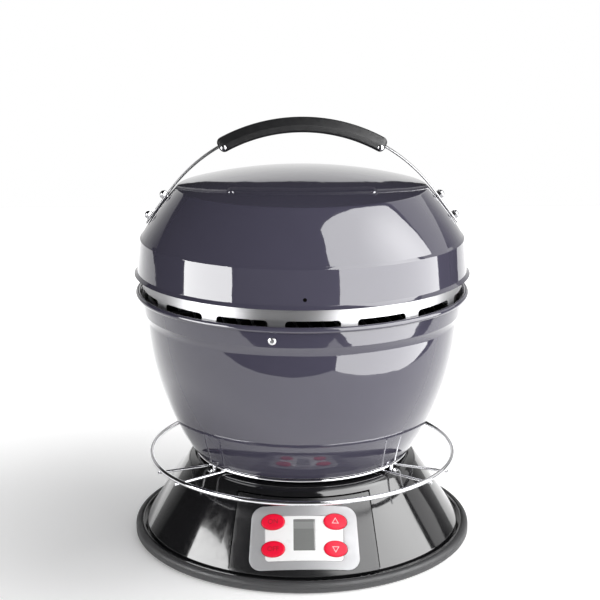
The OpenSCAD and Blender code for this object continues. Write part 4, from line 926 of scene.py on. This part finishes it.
# %% Filling an outline
def filled(loops, gap):
    """Points and triangles that fill the first loop outside the others, about a gap apart."""
    points = [tuple(p) for loop in loops for p in loop]
    edges, base = [], 0
    for loop in loops:
        edges += [(base + i, base + (i + 1) % len(loop)) for i in range(len(loop))]
        base += len(loop)
    rims = np.array(points)
    lo, hi = loops[0].min(0), loops[0].max(0)

    def covered(x, y):
        return inside_loop(loops[0], x, y) and not any(inside_loop(h, x, y) for h in loops[1:])

    for x in np.arange(lo[0] + gap / 2, hi[0], gap):
        for y in np.arange(lo[1] + gap / 2, hi[1], gap):
            if covered(x, y) and np.min(np.hypot(rims[:, 0] - x, rims[:, 1] - y)) > gap * 0.55:
                points.append((x, y))
    made, _, triangles, *_ = delaunay_2d_cdt([Vector(p) for p in points], edges, [], 0, 1e-6)
    made = np.array([tuple(p) for p in made])
    assert len(made) == len(points)
    kept = []
    for t in triangles:
        x, y = made[list(t)].mean(0)
        if covered(x, y):
            a, b, c = made[list(t)]
            flip = (b[0] - a[0]) * (c[1] - a[1]) - (b[1] - a[1]) * (c[0] - a[0]) < 0
            kept.append(tuple(reversed(t)) if flip else tuple(t))
    return made, kept


print("outlines can be filled")

# %% [markdown]
# ### A curved plate
# Every flat piece of the panel is a plate with a rounded upper edge: rings of points step
# down from the top, and the top and the foot are filled. A rim or a flange can be added.

# %% A curved plate
def panel_plate(name, outline, holes, low, high, edge=0.4, gap=3.0, rim=None, flange=None):
    """Curved plate on the console: its outline turns left, its holes turn right, and its upper edges are rounded.
    rim = (depth, inner outline) adds a skirt below the outline, and flange = (width, top) a wider foot."""
    loops = [np.asarray(outline)] + [np.asarray(h) for h in holes]
    points, faces = [], []

    def ring(loop, height):
        points.extend(on_panel(loop[:, 0], loop[:, 1], height) * MM)
        return len(points) - len(loop)

    top_loops, foot_loops, top_rings, foot_rings = [], [], [], []
    for k, loop in enumerate(loops):
        levels = [(moved_in(loop, edge * (1 - math.cos(a))), high - edge * (1 - math.sin(a)))
                  for a in np.radians(np.linspace(90, 0, 5))]
        foot = loop
        if k == 0 and rim:
            foot = rim[1]
            levels += [(loop, -rim[0]), (foot, -rim[0])]
        if k == 0 and flange:
            foot = moved_in(loop, -flange[0])
            levels += [(loop, flange[1]), (foot, flange[1])]
        levels.append((foot, low))
        rings = [ring(line, height) for line, height in levels]
        count = len(loop)
        for a, b in zip(rings, rings[1:]):
            faces += [(a + i, b + i, b + (i + 1) % count, a + (i + 1) % count) for i in range(count)]
        top_loops.append(moved_in(loop, edge))
        foot_loops.append(foot)
        top_rings.append(rings[0])
        foot_rings.append(rings[-1])
    for fill_loops, rings, height, up in ((top_loops, top_rings, high, True), (foot_loops, foot_rings, low, False)):
        flat, triangles = filled(fill_loops, gap)
        index = [r + i for r, loop in zip(rings, fill_loops) for i in range(len(loop))]
        spare = flat[len(index):]
        if len(spare):
            index += [ring(spare, height) + i for i in range(len(spare))]
        faces += [tuple(index[i] for i in (t if up else reversed(t))) for t in triangles]
    return plain_mesh(name, points, faces)


print("plates can be laid on the panel")

# %% [markdown]
# ### Outlines on the panel
# Four oval caps stand in two columns, with the display between them. The outlines are shared:
# the console, the frame and the inlay all leave the same room for caps and display.

# %% Panel outlines
ROW, PITCH_U, PITCH_V = 4.8, 65.2, 28.8
BUTTON_W, BUTTON_H = 24.5, 17.0
BUTTON_PROUD = 2.6
OVAL_POWER = 2 / 2.05
DISPLAY_ROW, DISPLAY_W, DISPLAY_H = 5.0, 22.5, 33.0
LABEL_ROW, LABEL_W, LABEL_H = 1.3, 81.5, 47.3
FIT = 0.1
BUTTON_AT = {"on": (-1, 1), "off": (-1, -1), "up": (1, 1), "down": (1, -1)}


def cap_centre(name):
    column, row = BUTTON_AT[name]
    return column * PITCH_U / 2, ROW + row * PITCH_V / 2


def oval(name, grow=0.0):
    u, v = cap_centre(name)
    a, b = BUTTON_W / 2 + grow, BUTTON_H / 2 + grow
    turns = np.radians(np.arange(0, 360, 3))
    c, s = np.cos(turns), np.sin(turns)
    across = np.sign(c) * np.abs(c) ** OVAL_POWER
    along = np.sign(s) * np.abs(s) ** OVAL_POWER
    return resampled(list(zip(u + a * across, v + b * along)), 1.2)


def box_loop(width, height, row, radius, gap=1.5):
    line = box_line(width, row - height / 2, row + height / 2)
    return resampled(rounded(line, all_four(radius), 6)[:-1], gap)


def hole(loop):
    return loop[::-1]


button_holes = [hole(oval(name, SEAM)) for name in BUTTON_AT]
display_hole = hole(box_loop(DISPLAY_W + 2 * FIT, DISPLAY_H + 2 * FIT, DISPLAY_ROW, 0.6))
print("holes in the console:", len(button_holes) + 1)

# %% [markdown]
# ### Console
# The console is a moulding of its own, set in the front of the cover with a fine seam all
# round and a skirt behind its edge. Its outline is known from the front, so it is carried
# over to the panel plane first.

# %% Console
CONSOLE_T, CONSOLE_RIM = 3.0, 9.0
CONSOLE_SEAM, CONSOLE_ROUND, CONSOLE_EDGE = 0.4, 2.2, 0.9


def from_front(x, z):
    y = -math.sqrt((SHOULDER[0] + (SHOULDER[1] - z) * COS / SIN) ** 2 - x * x)
    return x, (y + PANEL_R) * COS + (z - PANEL_Z) * SIN


def console_loop(shrink, radius):
    """The console's outline from the front, moved in and laid on the panel plane, always with the same points."""
    low, high = CONSOLE_Z[0] + shrink, CONSOLE_Z[1] - shrink
    wide = [h - shrink for h in CONSOLE_HALF]
    line = rounded(box_line(2 * wide[0], low, high, 2 * wide[1]), all_four(radius))
    made = []
    for p, q in zip(line, line[1:]):
        count = 40 if math.dist(p, q) > 20 else 1
        made += [from_front(p[0] + (q[0] - p[0]) * k / count, p[1] + (q[1] - p[1]) * k / count) for k in range(count)]
    return np.array(made)


console = panel_plate("console_face", console_loop(CONSOLE_SEAM, CONSOLE_ROUND), button_holes + [display_hole],
                      -CONSOLE_T, 0.0, edge=CONSOLE_EDGE, rim=(CONSOLE_RIM, console_loop(CONSOLE_T, 0.4)))
dress(console, "base", "gloss_black", "console", look="console_black")

# %% [markdown]
# ### Frame, inlay and display
# The silver frame lies on the console round a white inlay. Where a cap crosses the inlay's
# edge, the frame's opening follows the cap and the inlay is bitten by it. The display's
# window stands up through both.

# %% Bezel, label and display
BEZEL_TOP_W, BEZEL_FOOT_W, BEZEL_ROUND, BEZEL_T = 109.0, 117.0, 13.0, 1.2
BEZEL_LOW, BEZEL_HIGH = -31.7, 36.3
LABEL_T, LABEL_ROUND = 0.8, 4.0
GLASS_LOW, GLASS_SUNK, GLASS_ROUND = -3.0, 0.05, 0.5
BEZEL_EDGE, LABEL_EDGE, GLASS_EDGE, FINE = 0.45, 0.12, 0.2, 2.5


def box_and_ovals(grow, ovals, union):
    """The label's box joined with the four button ovals, or bitten by them, as one loop that turns left."""
    base = resampled([tuple(p) for p in box_loop(LABEL_W + 2 * grow, LABEL_H + 2 * grow, LABEL_ROW, LABEL_ROUND)], 0.4)
    loops = [oval(name, ovals) for name in BUTTON_AT]
    within = [next((k for k, o in enumerate(loops) if inside_loop(o, x, y)), None) for x, y in base]
    start = next(i for i in range(len(base)) if within[i] is None and within[i - 1] is not None)
    order = [(start + i) % len(base) for i in range(len(base))]
    made, i = [], 0
    while i < len(order):
        k = within[order[i]]
        if k is None:
            made.append(tuple(base[order[i]]))
            i += 1
            continue
        before = base[order[i - 1]]
        while i < len(order) and within[order[i]] == k:
            i += 1
        after = base[order[i % len(order)]]
        run = loops[k] if union else loops[k][::-1]
        run = np.roll(run, -int(np.argmin(np.hypot(*(run - before).T))), 0)
        made += [tuple(p) for p in run[1:int(np.argmin(np.hypot(*(run - after).T)))]]
    return np.array(made)


bezel = box_line(BEZEL_FOOT_W, BEZEL_LOW, BEZEL_HIGH, BEZEL_TOP_W)
bezel = resampled(rounded(bezel, all_four(BEZEL_ROUND), 14)[:-1], 1.4)
bezel = panel_plate("panel_bezel", bezel, [hole(box_and_ovals(FIT, SEAM, True))], FIT, FIT + BEZEL_T,
                    edge=BEZEL_EDGE, gap=FINE)
dress(bezel, "base", "silver_trim", "control_bezel")
label = panel_plate("panel_label", box_and_ovals(0, SEAM, False), [display_hole], FIT, FIT + LABEL_T,
                    edge=LABEL_EDGE, gap=FINE)
dress(label, "base", "label_white", "control_label")
glass = panel_plate("display_glass", box_loop(DISPLAY_W, DISPLAY_H, DISPLAY_ROW, GLASS_ROUND), [], GLASS_LOW,
                    LABEL_T - GLASS_SUNK, edge=GLASS_EDGE, gap=FINE)
dress(glass, "base", "display_grey", "display_window")


# %% [markdown]
# ## Buttons
# Each button is an oval cap with a flange behind the console that keeps it in, and a stem
# that works the switch.

# %% Buttons
def merged(name, *parts):
    bm = bmesh.new()
    for part in parts:
        bm.from_mesh(part.data)
        bpy.data.objects.remove(part)
    mesh = bpy.data.meshes.new(name)
    bm.to_mesh(mesh)
    bm.free()
    return linked(name, mesh)


def panel_place(u, v, w):
    return u, -PANEL_R + v * COS - w * SIN, PANEL_Z + v * SIN + w * COS


CAP_EDGE, CAP_GAP = 1.1, 2.0
FLANGE_W, FLANGE_TOP, FLANGE_LOW = 1.5, -3.1, -4.6
STEM_R, STEM_LOW, STEM_TOP = 1.6, -14.4, -6.0
for name in BUTTON_AT:
    u, v = cap_centre(name)
    cap = panel_plate("cap", oval(name), [], FLANGE_LOW, BUTTON_PROUD, edge=CAP_EDGE, gap=CAP_GAP,
                      flange=(FLANGE_W, FLANGE_TOP))
    stem = prism("stem", circle_loop(u, v, STEM_R, 32), STEM_LOW, STEM_TOP, panel_place)
    dress(merged(name + "_cap", cap, stem), name + "_key", "button_red", name + "_button")

# %% [markdown]
# ### Words and arrows
# The marks are printed on the caps. Each is a thin solid that follows the cap's curve, a few
# hundredths of a millimetre proud, so it moves with its cap.

# %% Words and arrows on the caps
PRINT_LOW, PRINT_HIGH = BUTTON_PROUD - 0.03, BUTTON_PROUD + 0.05
WORD_SIZE, ARROW_SIZE, ARROW_LINE, ARROW_EDGE = 7.0, 2.9, 0.75, 0.01


def printed_word(name):
    curve = bpy.data.curves.new("word", "FONT")
    curve.body, curve.size, curve.extrude = name.upper(), WORD_SIZE, 1.0
    curve.align_x, curve.align_y = "CENTER", "CENTER"
    writing = linked("word", curve)
    mesh = bpy.data.meshes.new_from_object(writing)
    bpy.data.objects.remove(writing)
    at = np.empty(len(mesh.vertices) * 3)
    mesh.vertices.foreach_get("co", at)
    at = at.reshape(-1, 3)
    u, v = cap_centre(name)
    placed = on_panel(u + at[:, 0], v + at[:, 1], np.where(at[:, 2] > 0, PRINT_HIGH, PRINT_LOW)) * MM
    mesh.vertices.foreach_set("co", placed.ravel())
    mesh.name = name + "_word"
    weld(mesh)
    return linked(name + "_word", mesh)


def printed_arrow(name):
    turn = 90 if name == "up" else -90

    def corners(radius):
        return resampled(arc_points(cap_centre(name), radius, turn, turn + 240, 2), 0.8)

    return panel_plate(name + "_arrow", corners(ARROW_SIZE + 2 * ARROW_LINE), [hole(corners(ARROW_SIZE))],
                       PRINT_LOW, PRINT_HIGH, edge=ARROW_EDGE, gap=CAP_GAP)


for name in ("on", "off"):
    dress(printed_word(name), name + "_key", "button_red", look="mark_dark")
for name in ("up", "down"):
    dress(printed_arrow(name), name + "_key", "button_red", look="mark_pale")

# %% [markdown]
# ## Wire seat
# Two chromed hoops are tied by eight straight spokes: the thin hoop carries the bowl and the
# thick one guards the hot metal from hands. They are drawn with the path tree.

# %% Wire seat
GUARD_R, GUARD_Z, GUARD_WIRE = 170.2, 93.1, 2.5
SEAT_R, SEAT_Z, SEAT_WIRE = 118.8, 97.351, 1.5
SPOKE_PAIRS = ((-52.8, -59.3), (52.8, 59.3), (135, 135), (225, 225))
SPOKE_Z, SPOKE_HALF, SPOKE_MORE = (94.301, 89.05), (6.0, 6.85), (9.0, 2.9)


def hoop_path(radius, z, count=240):
    return [[(x, y, z) for x, y in circle_loop(0, 0, radius, count)]]


def wire_piece(name, lines, radius, look, cyclic=False, sides=24):
    section = path_object("section", [[(x, y, 0) for x, y in circle_loop(0, 0, radius, sides)]], cyclic=True)
    return run_tree(name, path_object("path", lines, cyclic), sweep_tree, look, Section=section)


for name, radius, z, wire, solid in (("guard_hoop", GUARD_R, GUARD_Z, GUARD_WIRE, "guard_outer_ring"),
                                     ("seat_hoop", SEAT_R, SEAT_Z, SEAT_WIRE, "guard_inner_ring")):
    dress(wire_piece(name, hoop_path(radius, z), wire, "chrome_wire", True), "base", "chrome_wire", solid)
spokes = []
for inner_az, outer_az in SPOKE_PAIRS:
    for half in (-1, 1):
        inner = np.array(polar(SEAT_R, inner_az + half * SPOKE_HALF[0], SPOKE_Z[0]))
        outer = np.array(polar(GUARD_R, outer_az + half * SPOKE_HALF[1], SPOKE_Z[1]))
        way = (outer - inner) / np.linalg.norm(outer - inner)
        spokes.append([inner - way * SPOKE_MORE[0], outer + way * SPOKE_MORE[1]])
dress(wire_piece("guard_wires", spokes, SEAT_WIRE, "chrome_wire"), "base", "chrome_wire", "guard_spokes")

# %% [markdown]
# ## Fasteners
# Pan-head screws with a cross recess hold the vent ring, the seat clips and the grip. One of
# each size is turned and cut, then set on its points: here three round the bowl's collar,
# square to its slope.

# %% Ring screws
def upright(u, v, w):
    return u, v, w


def pan_screw(d, head_d, head_h, length):
    """Pan-head screw in mm that stands on its head's seat, with a cross cut into its dome."""
    dome = [(head_d / 2 * math.sin(a), head_h * (0.35 + 0.65 * math.cos(a))) for a in np.linspace(math.pi / 2, 0, 9)]
    body = [(0, -length), (d / 2, -length), (d / 2, 0), (head_d / 2, 0)] + dome
    screw = turned("screw", body, 48)
    arm, wide = head_d * 0.2, head_d * 0.08
    cross = [(arm, -wide), (arm, wide), (wide, wide), (wide, arm), (-wide, arm), (-wide, wide),
             (-arm, wide), (-arm, -wide), (-wide, -wide), (-wide, -arm), (wide, -arm), (wide, -wide)]
    return cut_out(screw, prism("recess", cross, head_h * 0.35, head_h * 2, upright), "screw_steel")


def fastened(name, part, places, look="chrome_wire"):
    return run_tree(name, points_object("places", places), set_tree, look, Part=part)


RING_SCREW, RING_SCREW_SIZE = (176.026, 266.901), (4, 8.28, 2.6, 7.5)
RING_SCREW_AZ = (-10.6, 109.4, 229.4)
ring_places = []
for az in RING_SCREW_AZ:
    out = polar(math.cos(COLLAR_TILT), az, -math.sin(COLLAR_TILT))
    ring_places.append((polar(RING_SCREW[0], az, RING_SCREW[1]), out))
ring_screws = fastened("ring_screws", pan_screw(*RING_SCREW_SIZE), ring_places)
dress(ring_screws, "bowl", "chrome_wire", "vent_ring_screws", look="screw_steel")

# %% [markdown]
# ### Seat clips
# A small clip under each pair of spokes holds the wire seat to the deck, with a screw into a
# round boss of the cover.

# %% Seat clips
CLIP_AZ = [inner_az for inner_az, _ in SPOKE_PAIRS]
CLIP_R, CLIP_TOP, CLIP_SCREW_SIZE = 123.8, 93.35, (3, 4.59, 1.95, 10)
PAD_R, PAD_L = 3.5, 16.4
clip_places = [(polar(CLIP_R, az, CLIP_TOP), (0, 0, 1)) for az in CLIP_AZ]
clip_screws = fastened("clip_screws", pan_screw(*CLIP_SCREW_SIZE), clip_places)
dress(clip_screws, "base", "chrome_wire", "frame_clip_screws")
pad = prism("pad", circle_loop(0, 0, PAD_R, 40), -PAD_L, 0, upright)
pads = [(polar(CLIP_R, az, SHOULDER[1]), (0, 0, 1)) for az in CLIP_AZ]
dress(fastened("clip_pads", pad, pads, "gloss_black"), "base", "gloss_black")

# %% [markdown]
# ### Domed nuts
# Two acorn nuts on each side clamp the strap to the lid's flank. A six-sided nut and a dome
# are turned apart and joined, then set square to the flank.

# %% Domed nuts
NUT_R, NUT_H, NUT_DOME, NUT_LIFT, NUT_PITCH = 5.0, 4.0, 4.4, 1.05, 28
NUT_LINE = [(2.6, 0), (4.5, 0), (NUT_R, 0.5), (NUT_R, 3.3), (4.3, NUT_H), (2.6, NUT_H)]
DOME_FOOT, DOME_FROM = NUT_H - 0.6, 22
LEG_MID, LEG_OUT, LEG_WAY = (156.682, 371.61), (0.800675, 0.599099), (0.599099, -0.800675)
dome = arc_points((0, NUT_H / 2), NUT_DOME, DOME_FROM, 90, 16)
hexagon = turned("hexagon", NUT_LINE, 6)
dome = turned("dome", [(0, DOME_FOOT), (dome[0][0], DOME_FOOT)] + dome, 48)
acorn = merged("acorn", hexagon, dome)
nut_places = []
for side in (-1, 1):
    for along in (-NUT_PITCH / 2, NUT_PITCH / 2):
        x = LEG_MID[0] + LEG_WAY[0] * along + LEG_OUT[0] * NUT_LIFT
        z = LEG_MID[1] + LEG_WAY[1] * along + LEG_OUT[1] * NUT_LIFT
        nut_places.append(((side * x, 0, z), (side * LEG_OUT[0], 0, LEG_OUT[1])))
dress(fastened("bow_nuts", acorn, nut_places), "lid", "chrome_wire", "handle_nuts", look="nut_steel")

# %% [markdown]
# ## Handle
# A bent strap runs over the lid, bolted flat on both flanks. It is one section with eased
# edges, drawn along the bow by the path tree.

# %% Strap
BOW_T, BOW_W, BOW_EASE = 2.0, 14.5, 0.7
BOW_C_Z, BOW_R = 281.537, 179.414
BOLT_A = 36.8054
LEG_END = (169.862, 353.996)
path = [LEG_END] + arc_points((0, BOW_C_Z), BOW_R, BOLT_A, 180 - BOLT_A, 120) + [(-LEG_END[0], LEG_END[1])]
path = [(x, 0, z) for x, z in path]
strap = rounded(box_line(BOW_W, -BOW_T / 2, BOW_T / 2), all_four(BOW_EASE), 4)[:-1]
strap = path_object("section", [[(x, y, 0) for x, y in strap]], cyclic=True)
bow = run_tree("bow_strap", path_object("path", [path]), sweep_tree, "brushed_steel", Section=strap)
dress(bow, "lid", "brushed_steel", "handle_bow", look="strap_steel")

# %% [markdown]
# ### Grip
# The grip is two moulded shells screwed together round the strap, with a ridge along each
# face and rounded ends. A half section is swept along the bow and shrinks at both ends. The
# front shell has pockets for the screw heads.

# %% Grip halves
GRIP_ANGLE, GRIP_H, GRIP_W = 30.2, 16.0, 22.0
GRIP_END, GRIP_PART, GRIP_WALL, STRAP_GAP = 6.0, 0.05, 0.4, 0.2
SCREW_A, SCREW_R, GRIP_SCREW_SIZE = 28.6, 176.414, (3, 6.2, 1.9, 15)
SCREW_HEAD_Y, POCKET_R, POCKET_END = -9.0, 3.3, -20


def grip_section(inset, front):
    """Half section as (height, depth): a ridge along the face, rounded above and below, slotted for the strap."""
    h, d = GRIP_H / 2 - inset, GRIP_W / 2 - inset
    ease = max(0.4, 3.2 - inset * 0.7)
    outer = rounded([(h, GRIP_PART), (h, d * 0.15), (0, d * 0.85), (-0.75 * h, d), (-h, d * 0.7), (-h, GRIP_PART)],
                    {1: ease, 2: 1.2, 3: 1.6, 4: 1.0}, 8)
    slot_t, slot_w = BOW_T / 2 + STRAP_GAP, min(BOW_W / 2 + FIT, d - GRIP_WALL)
    loop = outer + [(-slot_t, GRIP_PART), (-slot_t, slot_w), (slot_t, slot_w), (slot_t, GRIP_PART)]
    return [(p, -y if front else y) for p, y in loop]


def grip_half(name, front):
    points, faces, rings = [], [], []
    reach = math.degrees(GRIP_END / BOW_R)
    turns = [GRIP_ANGLE - reach * (1 - math.cos(a)) for a in np.radians(np.linspace(0, 90, 9))]
    insets = [GRIP_END * (1 - math.sin(a)) for a in np.radians(np.linspace(0, 90, 9))]
    stations = list(zip(turns, insets)) + [(a, 0.0) for a in np.linspace(turns[-1], -turns[-1], 64)[1:-1]]
    stations += [(-a, i) for a, i in zip(turns[::-1], insets[::-1])]
    for turn, inset in stations:
        a = math.radians(turn)
        loop = grip_section(inset, front)
        rings.append(len(points))
        points += [Vector(((BOW_R + p) * math.sin(a), y, BOW_C_Z + (BOW_R + p) * math.cos(a))) * MM for p, y in loop]
    n = len(loop)
    for a, b in zip(rings, rings[1:]):
        faces += [(a + i, a + (i + 1) % n, b + (i + 1) % n, b + i) for i in range(n)]
    faces += [tuple(range(rings[0], rings[0] + n)), tuple(range(rings[-1], rings[-1] + n))[::-1]]
    return facing_out(plain_mesh(name, points, faces))


screw_at = [(side * SCREW_R * math.sin(math.radians(SCREW_A)), BOW_C_Z + SCREW_R * math.cos(math.radians(SCREW_A)))
            for side in (-1, 1)]
front_half = grip_half("grip_front", True)
for x, z in screw_at:
    pocket = front_cut("pocket", circle_loop(x, z, POCKET_R, 40), SCREW_HEAD_Y, POCKET_END)
    front_half = cut_out(front_half, pocket, "grip_black")
dress(front_half, "lid", "grip_black", "grip_front_half")
dress(grip_half("grip_rear", False), "lid", "grip_black", "grip_rear_half")
grip_places = [((x, SCREW_HEAD_Y, z), (0, -1, 0)) for x, z in screw_at]
grip_pins = fastened("grip_pins", pan_screw(*GRIP_SCREW_SIZE), grip_places)
dress(grip_pins, "lid", "chrome_wire", "grip_screws")

# %% [markdown]
# ## Cooking grate
# The grate is a hoop with two rails and a row of bars. Each bar is as long as the hoop is
# wide where it lies, so a tree works out the length from the bar's own place.

# %% Cooking grate
HOOP_R, HOOP_Z, HOOP_WIRE, BAR_WIRE = 168.0, 274.351, 2.5, 1.5
BARS, BAR_PITCH, GRATE_TURN, RAIL_SHARE = 23, 14.0, 8.0, 2.4
rail_y = HOOP_R / RAIL_SHARE
rail = math.sqrt(HOOP_R ** 2 - rail_y ** 2)
hoop = wire_piece("hoop", hoop_path(HOOP_R, HOOP_Z), HOOP_WIRE, "dark_steel", True)
rails = [[(-rail, y, HOOP_Z), (rail, y, HOOP_Z)] for y in (-rail_y, rail_y)]
rails = wire_piece("rails", rails, HOOP_WIRE, "dark_steel")
grate = run_tree("grate", merged("grate_frame", hoop, rails), grate_tree, "dark_steel", Bars=BARS, Pitch=BAR_PITCH * MM,
                 Hoop_Radius=HOOP_R * MM, Bar_Radius=BAR_WIRE * MM, Height=HOOP_Z * MM, Turn=math.radians(GRATE_TURN))
dress(grate, "grate", "dark_steel", "cooking_grate")

# %% [markdown]
# ## Finishes on the remaining solids
# Pieces inside the base and the bowl keep their solids as they are and only take a finish.
# The cup and diffuser carry the tints of heated steel, and the liner is dull with soot.

# %% Finishes on the remaining solids
PLAIN_LOOK = {
    "display_module": "inner_black", "button_switches": "lead_black", "control_board": "board_green",
    "board_screws": "brushed_steel", "base_tray": "gloss_black", "rubber_feet": "rubber_grey",
    "tray_screws": "brushed_steel", "blower_housing": "inner_black", "blower_screws": "brushed_steel",
    "fan_motor": "brushed_steel", "motor_shaft": "chrome_wire", "impeller": "rubber_grey",
    "air_duct": "inner_black", "seat_gasket": "rubber_grey", "power_inlet": "lead_black",
    "power_lead": "lead_black", "fan_lead": "lead_black", "frame_clips": "chrome_wire",
    "vent_ring_nuts": "brushed_steel", "inner_liner": "soot_steel", "fire_cup": "heat_steel",
    "flame_diffuser": "heat_steel", "handle_bolts": "chrome_wire",
}
for name, look in PLAIN_LOOK.items():
    nodes[name].data.materials.clear()
    nodes[name].data.materials.append(FINISH[look])
print("plain solids finished:", len(PLAIN_LOOK))
